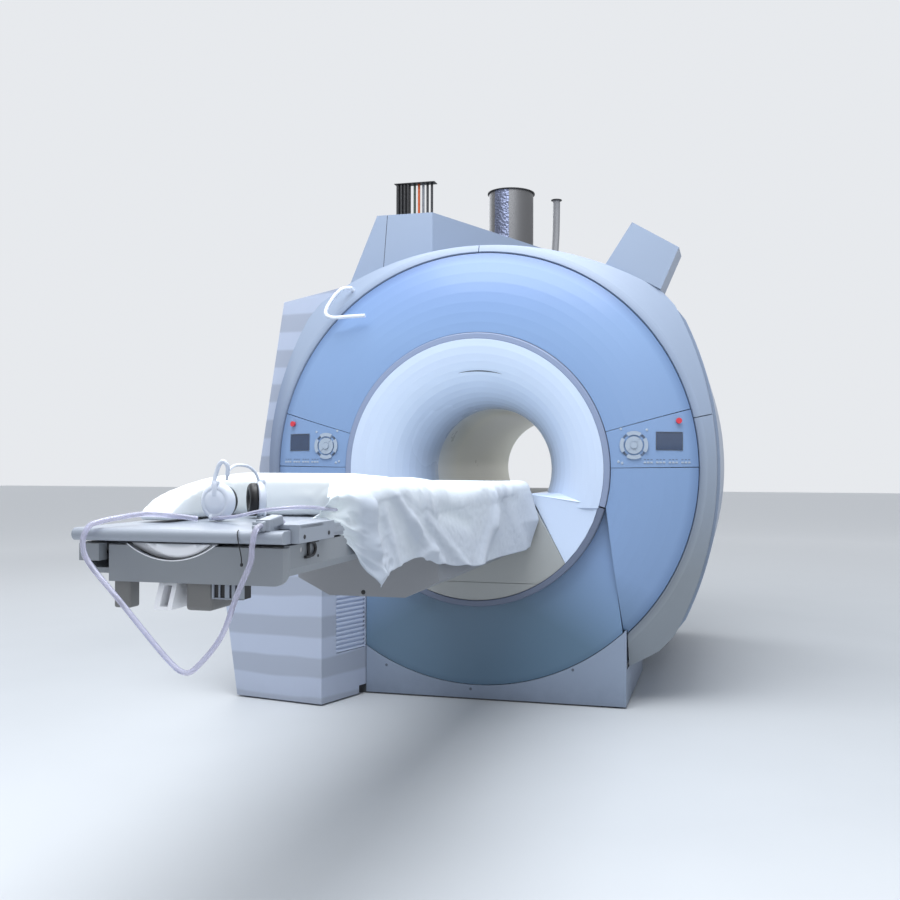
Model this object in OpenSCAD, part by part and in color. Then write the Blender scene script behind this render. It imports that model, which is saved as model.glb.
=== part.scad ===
// Hospital magnetic resonance scanner: a long cylindrical magnet in covers, with a
// cantilevered patient table, in its own frame. +Z is up, the bore runs along Y, the
// room end is -Y and the origin is on the floor straight under the isocentre.

/* [Bore and funnel] */
// Inside diameter of the patient bore
bore_d = 600; // [560:10:640]
// Height of the isocentre above the floor
iso_z = 1075; // [1060:5:1100]
// Distance from the isocentre to the front of the funnel rim
front_f = 1010; // [1006:1:1030]
// Outer radius of the funnel rim
rim_r = 633; // [625:1:640]
// Width of the flat band round the funnel rim
rim_band = 28; // [20:1:34]
// Distance from the isocentre to the throat of the funnel
throat_f = 600; // [580:5:640]
// Distance from the isocentre to the back end of the bore tube
bore_back = 940; // [900:5:960]
// Wall of the bore tube
liner_wall = 12; // [8:1:16]
// Wall of the moulded covers
cover_wall = 8; // [5:1:10]

/* [Front covers] */
// Outer radius of the domed front cover
dome_r = 1018; // [1010:1:1020]
// How far the dome falls back from its inner to its outer edge
dome_drop = 80; // [60:1:84]
// Width of the shadow gap between two covers
cover_gap = 3; // [2:0.5:4]
// Half width of the rim cover at the height of the isocentre
barrel_r = 1096; // [1090:1:1104]
// Distance from the isocentre up to the top of the rim cover
barrel_top = 1059; // [1056:1:1064]
// Distance from the isocentre to the rounded corners of the rim cover
corner_r = 1180; // [1172:1:1184]
// How far the barrel stands out of the rim cover at each side
side_out = 14; // [8:1:18]
// Distance from the isocentre to the back edge of the rim cover
rim_cover_back = 755; // [740:1:775]
// Angle of the upper edge of the control panels above the horizontal
panel_top_a = 15.4; // [14:0.1:17]
// Angle of the lower edge of the control panels above the horizontal
panel_low_a = 0.8; // [0:0.1:2]
// Distance from the isocentre to the flat front of the plinth and centre panel
plinth_f = 955; // [950:1:957]
// Radius of the arc between the plinth and the centre panel
plinth_arc_r = 1003; // [999:1:1006]
// Half width of the plinth
plinth_x = 700; // [690:1:705]

/* [Magnet] */
// Radius of the magnet vessel
vessel_r = 960; // [920:5:980]
// Radius of the warm bore of the vessel
warm_r = 460; // [450:1:470]
// Distance from the isocentre to each end of the vessel
vessel_f = 840; // [820:1:842]
// Thickness of the gradient coil
gradient_t = 100; // [80:1:110]
// Half length of the gradient coil
gradient_f = 580; // [560:5:590]
// Thickness of the steel base frame
base_t = 40; // [30:1:50]
// Diameter of the anchor holes in the base frame
anchor_d = 22; // [18:1:26]

/* [Table] */
// Height of the top of the tabletop at the bore
table_top_z = 965; // [955:1:970]
// Thickness of the tabletop
board_t = 28; // [24:1:30]
// Half width of the tabletop
board_x = 250; // [240:1:252]
// Distance from the isocentre to the room end of the tabletop
board_out = 3400; // [3390:5:3420]
// Distance from the isocentre to the bore end of the tabletop
board_in = 990; // [970:5:1000]
// Height of the trough under the tabletop
trough_h = 75; // [70:1:78]
// Wall of the trough
trough_wall = 14; // [10:1:18]
// Distance from the isocentre to the end face of the trunk
trunk_f = 2300; // [2200:10:2400]
// Depth of the trunk under the trough
trunk_h = 193; // [180:1:200]
// Running gap under the tabletop
run_gap = 0.3; // [0.2:0.1:0.6]

/* [Lift] */
// Height of the lug that joins the table to its carriage
lug_h = 44; // [36:1:44]
// Width of each lug
lug_w = 50; // [40:1:60]
// Distance of each lug and guide post from the middle
lug_x = 180; // [170:1:190]
// Clearance round the lugs in their slots
slot_gap = 4; // [3:0.5:6]
// Travel of the table lift
lift_travel = 385; // [300:5:390]
// Diameter of the lift screw
screw_d = 40; // [30:1:44]

/* [Controls] */
// Diameter of the jog dial
dial_d = 78; // [70:1:80]
// Diameter of the raised middle of the jog dial
knob_d = 30; // [26:1:34]
// Width of the crescent of each arrow button
arrow_w = 17; // [14:1:18]
// Travel of the arrow buttons
arrow_travel = 1.5; // [1:0.1:2]
// Diameter of the red stop button
stop_d = 26; // [20:1:30]
// Travel of the red stop button
stop_travel = 4; // [3:0.5:5]
// Width of the display
display_w = 115; // [100:1:120]
// Height of the display
display_h = 77; // [70:1:80]

/* [Services] */
// Height of the room ceiling
ceiling_z = 2902; // [2890:1:2920]
// Diameter of the insulated quench pipe
quench_d = 296; // [280:2:310]
// Height of the service turret cover
turret_z = 2390; // [2370:1:2400]

/* [Accessories] */
// Thickness of the table mattress
mattress_t = 50; // [40:1:60]
// Thickness of the domed head pad
pad_t = 118; // [100:1:124]
// Diameter of the air tube of the headset
tube_d = 12; // [10:0.5:14]
// Diameter of an ear cup
cup_d = 84; // [76:1:90]

/* [Hidden] */
$fn = 96;
bore_r = bore_d / 2;
rim_in = rim_r - rim_band;
dome_f = front_f - 10;
dome_in = rim_r + cover_gap;
dome_out_f = dome_f - dome_drop;
// The split of the funnel rim: the lower part moves with the table
split_z = iso_z - 172;
split_a = asin((iso_z - split_z) / rim_r);
lift_back = plinth_f + cover_gap;
board_bot = table_top_z - board_t;
trough_top = board_bot - 5;
trough_bot = board_bot - trough_h;
trunk_bot = trough_bot - trunk_h;
apron_f = front_f - 8;
apron_t = 18;
lens_z = 555;
table_channel = board_x + 6;
bridge_top = board_bot - run_gap;
lug_top = 909;
post_f = 900;
post_t = 45;
carriage_f0 = post_f + 2;
carriage_f1 = plinth_f - cover_wall - cover_gap;
roller_d = 36;
roller_z = board_bot - run_gap - roller_d / 2;
slot_bot = lug_top - lug_h - lift_travel - slot_gap;
dome_n = 8;
dial_x = 738;
dial_z = iso_z + 110;
// Radius on which the crescents stand round the dial
arrow_r = dial_d / 2 + 7 + arrow_w / 2;
display_x = 892;
display_z = iso_z + 128;
stop_x = 930;
stop_z = iso_z + 218;
box_w = 5;
// Corners of the floor cabinet in plan
cab_a = [-1112, -1161];
cab_b = [-648, -1237];
cab_c = [-548, -957];
cab_a3 = atan2(cab_c[1] - cab_b[1], cab_c[0] - cab_b[0]);
cab_h = 850;
// Clearance of a piece that rests on another
seat = 0.3;
frame_r = dome_r - 68;
dome_clear = dome_f + 100;
cab_lean = 130;
side_front = rim_cover_back - cover_gap - 1;
// Large radii of the flattened sides and top of the barrel
side_big = 1.465 * barrel_r;
top_big = 1.559 * barrel_top;
// Angle below the horizontal where the left end of the moving rim clears the cabinet
left_a = 31;
function dome_at(r) = dome_f - dome_drop * pow((r - dome_in) / (dome_r - dome_in), 2);

// Outline of the barrel: a circle flattened at the sides, at the top and below
module barrel_outline(g = 0, out = side_out) {
  intersection() {
    translate([barrel_r - side_big, iso_z]) circle(r = side_big + g + out, $fn = 240);
    translate([side_big - barrel_r, iso_z]) circle(r = side_big + g + out, $fn = 240);
    translate([0, iso_z + barrel_top - top_big]) circle(r = top_big + g, $fn = 240);
    translate([0, iso_z - barrel_top + top_big]) circle(r = top_big + g, $fn = 240);
    translate([0, iso_z]) circle(r = corner_r + g, $fn = 240);
  }
}
// Turns a profile of [radius, forward distance] about the bore axis, between two
// angles that count from the right hand side upwards
module about_bore(a0 = 0, a1 = 360) {
  translate([0, 0, iso_z]) rotate([90, 0, 0])
    if (a1 - a0 >= 360) rotate_extrude($fn = 180) children();
    else rotate([0, 0, a0]) rotate_extrude(angle = a1 - a0, $fn = 240) children();
}
// Extrudes an [x, z] outline from one forward distance to another
module front_block(f0, f1) {
  translate([0, -f0, 0]) rotate([90, 0, 0]) linear_extrude(f1 - f0) children();
}
module tube_profile(r0, r1, f0, f1) {
  translate([r0, f0]) square([r1 - r0, f1 - f0]);
}
// Outline of the bell: an arc from the throat out to the rim
function bell(n, off = 0) = [for (i = [0:n]) let (a = 90 * i / n)
  [bore_r + off + (rim_in - bore_r) * (1 - cos(a)),
   throat_f + (front_f - throat_f) * sin(a) - off]];
function reverse(v) = [for (i = [len(v) - 1:-1:0]) v[i]];
// Domed profile from one radius to another
function dome_line(off) = [for (i = [0:dome_n]) let (r = dome_in + (dome_r - dome_in) * i / dome_n)
  [r, dome_at(r) - off]];
// The same line, straight between its points, at any radius
dome_step = (dome_r - dome_in) / dome_n;
function dome_chord(r, off) = let (i = floor((r - dome_in) / dome_step), t = (r - dome_in) / dome_step - i)
  (1 - t) * dome_line(off)[i][1] + t * dome_line(off)[i + 1][1];
module dome_profile() {
  polygon(concat(dome_line(0), [[dome_r + 2, dome_out_f - 8], [dome_r, dome_out_f - 24]],
    reverse(dome_line(cover_wall))));
}
// Wing beside the table: it closes the funnel from the table shelf out to the rim
shelf_top = table_top_z - 2;
wing_in = [table_channel + 1, -(throat_f + 350), shelf_top - 4];
function bell_at(r) = throat_f + (front_f - throat_f) * sin(acos(1 - (r - bore_r) / (rim_in - bore_r)));
wing_top = [for (r = [405, 450, 505, 560]) [r * cos(split_a), 4 - bell_at(r), iso_z - r * sin(split_a)]];
wing_r = [for (a = [-split_a, -23, -30, -37, -44.5]) [(rim_in - 1.5) * cos(a), 5 - front_f,
  iso_z + (rim_in - 1.5) * sin(a)]];
// Half width of the apron's top, on the lower edge of the wing
wing_slope = (wing_r[4][0] - wing_in[0]) / (wing_in[2] - wing_r[4][2]);
apron_x = wing_in[0] + (wing_in[2] - bridge_top + 4) * wing_slope - 2;
module wing() {
  f = concat([wing_in], wing_top, wing_r);
  n = len(f);
  polyhedron(points = concat(f, [for (v = f) v + [0, 10, 0]]), faces = concat(
    [for (i = [1:n - 2]) [0, i, i + 1]], [for (i = [1:n - 2]) [n, n + i + 1, n + i]],
    [for (i = [0:n - 1]) let (j = (i + 1) % n) each [[i, i + n, j], [j, i + n, j + n]]]));
  translate([0, 0, shelf_top - 8]) linear_extrude(8) polygon([[wing_in[0] + 9, -throat_f - seat],
    [wing_in[0], wing_in[1] + 4], [wing_top[0][0], wing_top[0][1] + 4], [350, -850], [306, -750],
    [bore_r - 15, -throat_f - seat]]);
}
// Outline of the flat centre panel, without its gaps
module centre_outline(g = 0) {
  difference() {
    polygon([[-545 + g, 60], [-545 + g, split_z], [611 - g, split_z],
      [684 - g, 335], [684 - g, 60]]);
    difference() {
      translate([-900, -200]) square([1800, 1300]);
      translate([0, iso_z]) circle(r = plinth_arc_r - g, $fn = 240);
    }
  }
}
// The part of the front that moves with the table, seen from the room
module apron_outline() {
  intersection() {
    translate([0, iso_z]) circle(r = rim_in - 2);
    polygon([[-apron_x, bridge_top - 4], [apron_x, bridge_top - 4], [wing_r[4][0] - 2, wing_r[4][2]],
      [wing_r[4][0] - 2, 300], [2 - wing_r[4][0], 300], [2 - wing_r[4][0], wing_r[4][2]]]);
  }
}

module base_frame() color("dimgray") {
  difference() {
    union() {
      for (s = [-1, 1]) translate([s * 500 - 90, -820, 0]) cube([180, 1640, base_t]);
      translate([-590, -plinth_f + cover_wall, 0]) cube([1180, 210, base_t]);
      translate([-590, 640, 0]) cube([1180, 180, base_t]);
      translate([-100, -800, 0]) cube([200, 1600, base_t]);
      for (f = [-520, 520]) difference() {
        translate([-590, -f - 90, 0]) cube([1180, 180, 330]);
        front_block(f - 200, f + 200) translate([0, iso_z]) circle(r = vessel_r);
      }
    }
    for (x = [-500, 500], y = [-875, 730]) translate([x, y, -1]) cylinder(d = anchor_d, h = base_t + 2);
  }
}
module magnet_vessel() color("silver")
  about_bore() difference() {
    tube_profile(warm_r, vessel_r, -vessel_f, vessel_f);
    tube_profile(warm_r - 1, warm_r + 30, vessel_f - 30, vessel_f + 1);
  }
module gradient_coil() color("tan")
  about_bore() tube_profile(warm_r - gradient_t, warm_r, -gradient_f, gradient_f);
module body_coil() color("peru")
  about_bore() tube_profile(bore_r + liner_wall, warm_r - gradient_t, -260, 260);
module bore_liner() color("gainsboro")
  difference() {
    about_bore() tube_profile(bore_r, bore_r + liner_wall, -bore_back, throat_f);
    for (k = [-2:2]) translate([0, 700, iso_z]) rotate([0, 18 + 6 * k, 0]) translate([bore_r - 20, 0, 0])
      rotate([0, 90, 0]) cylinder(d = 12, h = 60);
  }
// Bed in the bore that carries the tabletop, with its mouth in the funnel
module bore_bridge() color("gainsboro")
  union() {
    intersection() {
      front_block(-bore_back + 40, throat_f - 1) difference() {
        translate([-bore_r, iso_z - bore_r]) square([2 * bore_r, bridge_top - iso_z + bore_r]);
        translate([-150, iso_z - bore_r - 5]) square([300, 100]);
      }
      front_block(-bore_back, throat_f) translate([0, iso_z]) circle(r = bore_r);
    }
    front_block(throat_f - 1, lift_back - 12) translate([-board_x, lug_top + 6])
      square([2 * board_x, bridge_top - lug_top - 6]);
  }
module funnel() color("aliceblue") {
  difference() {
    about_bore() intersection() {
      polygon(concat(bell(14), [[rim_in, front_f]], reverse(bell(14, cover_wall))));
      translate([0, throat_f + seat]) square([rim_in - seat, front_f + 1 - throat_f]);
    }
    front_block(lift_back - 12, front_f + 1) translate([-700, 300]) square([1400, split_z - 300]);
    front_block(throat_f - 5, front_f + 5) translate([-table_channel, 300])
      square([2 * table_channel, table_top_z + 6 - 300]);
  }
  wing();
  mirror([1, 0, 0]) wing();
}
module rim_section() {
  polygon([[rim_in, front_f - 2], [rim_in + 3, front_f], [rim_r - 4, front_f], [rim_r, front_f - 4],
    [rim_r, lift_back], [rim_in, lift_back]]);
}
module funnel_rim() color("white")
  about_bore(-split_a + 0.3, 200.5) rim_section();
module floor_cut(low = 30)
  difference() {
    children();
    translate([-1500, -1500, low - 400]) cube([3000, 3000, 400]);
  }
rear_f = -bore_back - 130;
module rear_cover() color("lavender")
  floor_cut() intersection() {
    about_bore() polygon([[bore_r, -bore_back], [bore_r + 30, -bore_back - 60],
      [bore_r + 110, -bore_back - 110], [bore_r + 240, rear_f - cover_wall],
      [corner_r + 20, rear_f - cover_wall], [corner_r + 20, rear_f], [bore_r + 240, rear_f],
      [bore_r + 113, -bore_back - 102], [bore_r + 38, -bore_back - 55], [bore_r + cover_wall, -bore_back]]);
    front_block(rear_f - 50, -bore_back + 50) barrel_outline();
  }
// Outer barrel with the ribs that carry it on the vessel and a lip under the rim covers
module barrel_cover() color("lavender") difference() {
  floor_cut() {
    front_block(rear_f, rim_cover_back - cover_gap) difference() {
      barrel_outline();
      barrel_outline(-cover_wall);
    }
    front_block(rim_cover_back - 60, rim_cover_back - cover_gap) difference() {
      barrel_outline(1 - cover_wall);
      barrel_outline(-2 * cover_wall, 0);
    }
    front_block(rim_cover_back - 20, rim_cover_back + 30) difference() {
      barrel_outline(-cover_wall - seat, 0);
      barrel_outline(-2 * cover_wall, 0);
    }
    for (f = [-300, 300]) front_block(f - 6, f + 6) difference() {
      barrel_outline(1 - cover_wall);
      translate([0, iso_z]) circle(r = vessel_r + seat);
    }
  }
  translate([-600, -1500, -400]) cube([1200, 3000, 750]);
}
// Ring that carries the domed front covers on the vessel
module cover_frame() color("dimgray") difference() {
  about_bore() {
    tube_profile(frame_r - 60, frame_r, vessel_f, vessel_f + 12);
    polygon([[frame_r - 12, vessel_f], [frame_r, vessel_f], [frame_r, dome_chord(frame_r, cover_wall + seat)],
      [frame_r - 12, dome_chord(frame_r - 12, cover_wall + seat)]]);
  }
  for (s = [0, 1]) mirror([s, 0, 0]) {
    about_bore(panel_low_a - 0.1, panel_top_a + 0.1) polygon([
      [frame_r - 20, dome_chord(frame_r - 20, panel_t + seat)], [frame_r - 20, dome_clear],
      [frame_r + 10, dome_clear], [frame_r + 10, dome_chord(frame_r + 10, panel_t + seat)]]);
    about_bore(11, panel_top_a + 0.1) tube_profile(frame_r - 20, frame_r + 10, vessel_f + 12.5, dome_clear);
  }
  front_block(vessel_f + 12.5, dome_clear) {
    translate([-1200, 0]) square([2400, 345]);
    translate([-1300, 0]) square([760, 862]);
    centre_outline(-cover_gap);
  }
  translate([-700, -1200, -400]) cube([1400, 1200, 400 + base_t]);
}
// Curved front of the rim covers, from the dome out past their corners
rim_line = [[dome_r + 40, dome_out_f - 12], [dome_r + 75, dome_out_f - 34],
  [corner_r + 20, dome_out_f - 98]];
// Rim cover between two angles: a curved front that ends at the outline of the barrel
module rim_cover(a0, a1) difference() {
  intersection() {
    about_bore(a0, a1) polygon(concat([[dome_r + cover_gap + 1, rim_cover_back],
      [dome_r + cover_gap + 1, dome_out_f - 4], [dome_r + cover_gap + 6, dome_out_f + 1]],
      rim_line, [[corner_r + 20, rim_cover_back]]));
    front_block(rim_cover_back - 1, dome_f) barrel_outline(0, 0);
  }
  intersection() {
    about_bore() polygon([[dome_r - 30, rim_cover_back - 1], [dome_r - 30, dome_out_f - 24],
      [dome_r + 12, dome_out_f - 24], [dome_r + 12, dome_out_f - 11], [dome_r + 38, dome_out_f - 22],
      [dome_r + 73, dome_out_f - 44], [corner_r + 20, dome_out_f - 108],
      [corner_r + 20, rim_cover_back - 1]]);
    front_block(rim_cover_back - 2, dome_f) barrel_outline(-cover_wall, 0);
  }
}
module rim_covers_top() color("lavender") {
  rim_cover(90.1, 197);
  rim_cover(13.2, 89.9);
}
module rim_cover_low() color("lavender") floor_cut() difference() {
  rim_cover(-72, 13);
  front_block(600, 1200) translate([0, -50]) square([plinth_x + cover_gap, 420]);
}
module dome_cover_upper() color("lightsteelblue")
  about_bore(panel_top_a + 0.2, 179.8 - panel_top_a) dome_profile();
module dome_covers_low() color("lightsteelblue") {
  difference() {
    about_bore(-48, panel_low_a - 0.2) dome_profile();
    front_block(800, 1100) centre_outline(-cover_gap);
    front_block(800, 1100) translate([0, -50]) square([plinth_x + cover_gap, 400]);
  }
  difference() {
    about_bore(180.2 - panel_low_a, 201) dome_profile();
    front_block(800, 1100) centre_outline(-cover_gap);
    front_block(800, 1100) polygon([[-1300, 0], [-1300, 862], [-540, 862], [-540, 0]]);
  }
}
module centre_panel() color("lightsteelblue") difference() {
  union() {
    front_block(plinth_f - cover_wall, plinth_f) centre_outline();
    front_block(dome_out_f - 20, plinth_f) intersection() {
      centre_outline();
      polygon([[611, split_z], [684, 335], [684, 60], [684 - cover_wall, 60], [684 - cover_wall, 335],
        [611 - cover_wall, split_z]]);
    }
  }
  // Opening for the funnel and the slots that the lugs of the table run in
  front_block(plinth_f - 60, plinth_f + 1) {
    difference() {
      translate([0, iso_z]) circle(r = rim_in - 8);
      translate([-board_x + 4, 0]) square([2 * board_x - 8, 2000]);
      translate([-700, 0]) square([1400, 560]);
    }
    for (s = [-1, 1]) translate([s * lug_x - lug_w / 2 - slot_gap, slot_bot])
      square([lug_w + 2 * slot_gap, lug_top - slot_bot + slot_gap]);
  }
}
module plinth_cover() color("gainsboro") difference() {
  union() {
    front_block(plinth_f - cover_wall, plinth_f) plinth_outline();
    translate([plinth_x - cover_wall, -plinth_f, 8]) cube([cover_wall, plinth_f - 180, 60]);
    difference() {
      translate([plinth_x - cover_wall, -plinth_f, 8]) cube([cover_wall, plinth_f - 180, 340]);
      front_block(-1500, dome_out_f - 30) barrel_outline(cover_gap);
    }
  }
  front_block(-1500, dome_out_f + 2) barrel_outline(cover_gap);
}
module plinth_outline() {
  difference() {
    translate([-545, 8]) square([545 + plinth_x, 340]);
    translate([0, iso_z]) circle(r = plinth_arc_r + cover_gap, $fn = 240);
  }
}
// Tall cover on the left of the magnet
module side_outline(g = 0) {
  polygon([[g - 0.584 * barrel_r, iso_z + g + 0.862 * barrel_r],
    [-g - 0.99 * barrel_r, iso_z + g + 0.78 * barrel_r],
    [-g - 1.115 * barrel_r, iso_z], [-g - 1.095 * barrel_r, iso_z - 0.525 * barrel_r],
    [-g - 1.022 * barrel_r, 8], [-0.64 * barrel_r, 8]]);
}
module side_cover_left() color("lavender") difference() {
  front_block(-600, side_front) side_outline();
  front_block(-1000, 1000) barrel_outline(seat);
}
module cab_plan() {
  polygon([cab_a, cab_b, cab_c, [cab_c[0], -side_front - seat], [cab_a[0], -side_front - seat]]);
}
module cabinet() color("lavender") difference() {
  union() {
    translate([0, 0, 8]) linear_extrude(cab_h - 8) cab_plan();
    hull() {
      translate([cab_a[0], cab_a[1], 8]) cube([1, 246, 1]);
      translate([cab_a[0], cab_a[1], cab_h - 1]) cube([1, 246, 1]);
      translate([cab_a[0] - cab_lean, cab_a[1] + 15, cab_h - 1]) cube([1, 230, 1]);
    }
  }
  translate([cab_b[0], cab_b[1], 0]) rotate([0, 0, cab_a3]) translate([95, -1, 222]) cube([196, 21, 401]);
  front_block(700, dome_out_f + 6) barrel_outline(cover_gap);
  front_block(800, dome_f + 40) centre_outline(-cover_gap);
  front_block(700, plinth_f + cover_gap) translate([-545 - cover_gap, 0]) square([1000, 1000]);
  translate([-700, -1000, -10]) cube([200, 300, 10 + base_t + 5]);
}
module cabinet_grille() color("whitesmoke")
  translate([cab_b[0], cab_b[1], 0]) rotate([0, 0, cab_a3]) translate([96, 0, 223]) {
    translate([0, 10, 0]) cube([194, 9, 399]);
    for (i = [0:18]) translate([0, 1, 3 + i * 21]) cube([194, 9.5, 9]);
  }
// Cover over the service turret on the top left of the magnet
module turret_cover() color("lavender") difference() {
  union() {
    intersection() {
      translate([0, 0, 1500]) linear_extrude(turret_z - 1500)
        polygon([[-1000, -600], [-333, -600], [235, 765], [-1000, 765]]);
      front_block(-801, 601) polygon([[-802, 2000], [-635, turret_z], [400, turret_z],
        [400, 1500], [-802, 1500]]);
    }
    translate([-960, 480, 1500]) cube([400, 240, turret_z - 1500]);
  }
  front_block(-1000, 1000) barrel_outline(seat);
  front_block(-1000, 1000) side_outline(seat);
}
// Cover over the cold head on the top right, leaning out along a radius
ear_f = dome_out_f - 75;
module coldhead_cover() color("lavender") difference() {
  front_block(ear_f - 200, ear_f) polygon([[714, 2218], [928, 2091], [800, 1800], [520, 1920]]);
  front_block(-1000, 1000) barrel_outline(seat);
}
// Hook for local coils: its foot stands square on the upper left of the rim cover
foot_a = 126.4;
foot_r = dome_r + 66;
foot_slope = atan2(rim_line[0][1] - rim_line[1][1], rim_line[1][0] - rim_line[0][0]);
foot = [foot_r * cos(foot_a), -lookup(foot_r, rim_line), iso_z + foot_r * sin(foot_a)];
foot_up = [cos(foot_a) * sin(foot_slope), -cos(foot_slope), sin(foot_a) * sin(foot_slope)];
hook_pts = concat([for (d = [seat, 10, 25]) foot + d * foot_up],
  [for (v = [[-47, -48, -2], [-85, -80, -62], [-97, -110, -122], [-57, -118, -147], [23, -118, -145],
    [109, -118, -143]]) foot + v]);
module coil_hook() color("white") swept(spline(hook_pts, 4), 18, 10);
quench_at = [-278, 925];
hose_top = [-10, 1140];
module quench_pipe() color("silver")
  difference() {
    translate([quench_at[0], quench_at[1], 2000]) cylinder(d = quench_d, h = ceiling_z - 2000);
    translate([quench_at[0], quench_at[1], 2200]) cylinder(d = quench_d - 30, h = ceiling_z);
    front_block(-1500, 1000) barrel_outline(seat);
  }
// Trim rings and plates where the services go through the ceiling
module ceiling_plates() color("black") {
  translate([quench_at[0], quench_at[1], ceiling_z - 6]) difference() {
    cylinder(d = quench_d + 20, h = 6);
    translate([0, 0, -1]) cylinder(d = quench_d + 2 * seat, h = 20);
  }
  translate([hose_top[0], hose_top[1], ceiling_z - 4]) difference() {
    cylinder(d = 74, h = 4);
    translate([0, 0, -1]) cylinder(d = 50 + 2 * seat, h = 20);
  }
  difference() {
    translate([-960, 524, ceiling_z - 4]) cube([272, 62, 4]);
    for (c = cables) translate([c[0], c[1], ceiling_z - 20]) cylinder(d = c[2] + 2 * seat, h = 40, $fn = 24);
  }
}
cables = concat([for (i = [0:3], j = [0:1]) [-940 + i * 23, 540 + j * 26, 20]],
  [for (i = [0:4]) [-832 + i * 29, 560, 16]]);
module ceiling_cables() color("black")
  for (c = cables) translate([c[0], c[1], turret_z]) cylinder(d = c[2], h = ceiling_z - turret_z, $fn = 24);
// Sweeps a tube with eight sides along points
function unit(v) = v / norm(v);
function along(p, i) = unit(p[min(i + 1, len(p) - 1)] - p[max(i - 1, 0)]);
function side_of(t) = unit(abs(t[2]) > 0.9 ? cross(t, [0, 1, 0]) : cross(t, [0, 0, 1]));
// Carries the side vector from ring to ring so that the tube doesn't twist
function carry(p, i) = i == 0 ? side_of(along(p, 0))
  : let (s = carry(p, i - 1), t = along(p, i)) unit(s - (s * t) * t);
function spline(p, k) = [for (i = [0:len(p) - 2], j = [0:k - 1])
  let (t = j / k, a = p[max(i - 1, 0)], b = p[i], c = p[i + 1], d = p[min(i + 2, len(p) - 1)])
  0.5 * (2 * b + (c - a) * t + (2 * a - 5 * b + 4 * c - d) * t * t + (3 * b - a - 3 * c + d) * t * t * t),
  p[len(p) - 1]];
module swept(p, d, n = 8) {
  m = len(p);
  rings = [for (i = [0:m - 1]) let (t = along(p, i), s = carry(p, i), u = cross(t, s))
    for (k = [0:n - 1]) p[i] + d / 2 * (cos(360 * k / n) * s + sin(360 * k / n) * u)];
  faces = concat(
    [[for (k = [0:n - 1]) k]],
    [[for (k = [n - 1:-1:0]) (m - 1) * n + k]],
    [for (i = [0:m - 2], k = [0:n - 1]) let (a = i * n + k, b = i * n + (k + 1) % n)
      each [[a, a + n, b], [b, a + n, b + n]]]);
  polyhedron(points = rings, faces = faces);
}
hose_pts = [[-10, 1140, 2902], [-10, 1140, 2880], [-10, 1136, 2800], [-8, 1110, 2660], [-6, 1060, 2520],
  [-4, 1000, 2400], [0, 950, 2280], [0, 950, 2190], [0, 950, iso_z + barrel_top + seat]];
module water_hose() color("gray") swept(spline(hose_pts, 4), 50);

// Puts its children on the dome at a radius and an angle, with +Z along the normal
module on_dome(v) {
  translate([0, 0, iso_z]) rotate([90, 0, 0]) rotate([0, 0, atan2(v[1], v[0])])
    translate([norm(v), 0, dome_at(norm(v))]) rotate([0, dome_tilt(norm(v)), 0])
      rotate([0, 0, -atan2(v[1], v[0])]) children();
}
function dome_tilt(r) = atan(2 * dome_drop * (r - dome_in) / pow(dome_r - dome_in, 2));
dial_at = [dial_x, dial_z - iso_z];
display_at = [display_x, display_z - iso_z];
stop_at = [stop_x, stop_z - iso_z];
function flip(v, s) = [s * v[0], v[1]];
arrow_z = 2.6;
panel_t = 30;
module control_panel(a0, a1, s) difference() {
  about_bore(a0, a1) polygon(concat(dome_line(0), [[dome_r + 2, dome_out_f - 8], [dome_r, dome_out_f - 24]],
    reverse(dome_line(panel_t))));
  on_dome(flip(display_at, s)) translate([-display_w / 2 - 1, -display_h / 2 - 1, -10])
    cube([display_w + 2, display_h + 2, 30]);
  on_dome(flip(dial_at, s)) {
    translate([0, 0, -60]) cylinder(d = 16 + 0.1, h = 80);
    translate([0, 0, -4]) cylinder(d = dial_d + 2, h = 20);
    for (k = [0:3]) rotate(90 * k) translate([arrow_r, 0, -60]) cylinder(d = 12.2, h = 80);
  }
  on_dome(flip(stop_at, s)) translate([0, 0, -60]) cylinder(d = 14.2, h = 80);
}
module control_panels() color("lightsteelblue") {
  control_panel(panel_low_a, panel_top_a, 1);
  control_panel(180 - panel_top_a, 180 - panel_low_a, -1);
}
module displays() color("darkslategray")
  for (s = [-1, 1]) on_dome(flip(display_at, s)) translate([-display_w / 2, -display_h / 2, -10])
    cube([display_w, display_h, 9]);
module dial(s) color("gainsboro") on_dome(flip(dial_at, s)) {
  translate([0, 0, -3.7]) difference() {
    union() {
      cylinder(d = dial_d, h = 9);
      cylinder(d = knob_d, h = 14);
    }
    translate([0, 0, 7]) difference() {
      cylinder(d = knob_d + 6, h = 3);
      cylinder(d = knob_d, h = 3);
    }
    for (a = [45, 225]) rotate(a) translate([knob_d / 2 + 2, -1.5, 7]) cube([dial_d, 3, 3]);
  }
  translate([0, 0, -40]) cylinder(d = 16, h = 37);
}
module dial_right() dial(1);
module dial_left() dial(-1);
module arrow(s, k) color("gainsboro") on_dome(flip(dial_at, s)) rotate(90 * k) {
  translate([0, 0, arrow_z]) rotate(-32) rotate_extrude(angle = 64)
    translate([arrow_r - arrow_w / 2, 0]) square([arrow_w, 4]);
  translate([arrow_r, 0, -38]) cylinder(d = 12, h = 38 + arrow_z + 1);
}
module arrow_r_out() arrow(1, 0);
module arrow_r_up() arrow(1, 1);
module arrow_r_in() arrow(1, 2);
module arrow_r_down() arrow(1, 3);
module arrow_l_in() arrow(-1, 0);
module arrow_l_up() arrow(-1, 1);
module arrow_l_out() arrow(-1, 2);
module arrow_l_down() arrow(-1, 3);
module stop_button(s) color("red") on_dome(flip(stop_at, s)) {
  translate([0, 0, stop_travel + 1]) cylinder(d = stop_d, h = 11);
  translate([0, 0, -42]) cylinder(d = 14, h = 42 + stop_travel + 2);
}
module stop_button_right() stop_button(1);
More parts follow.
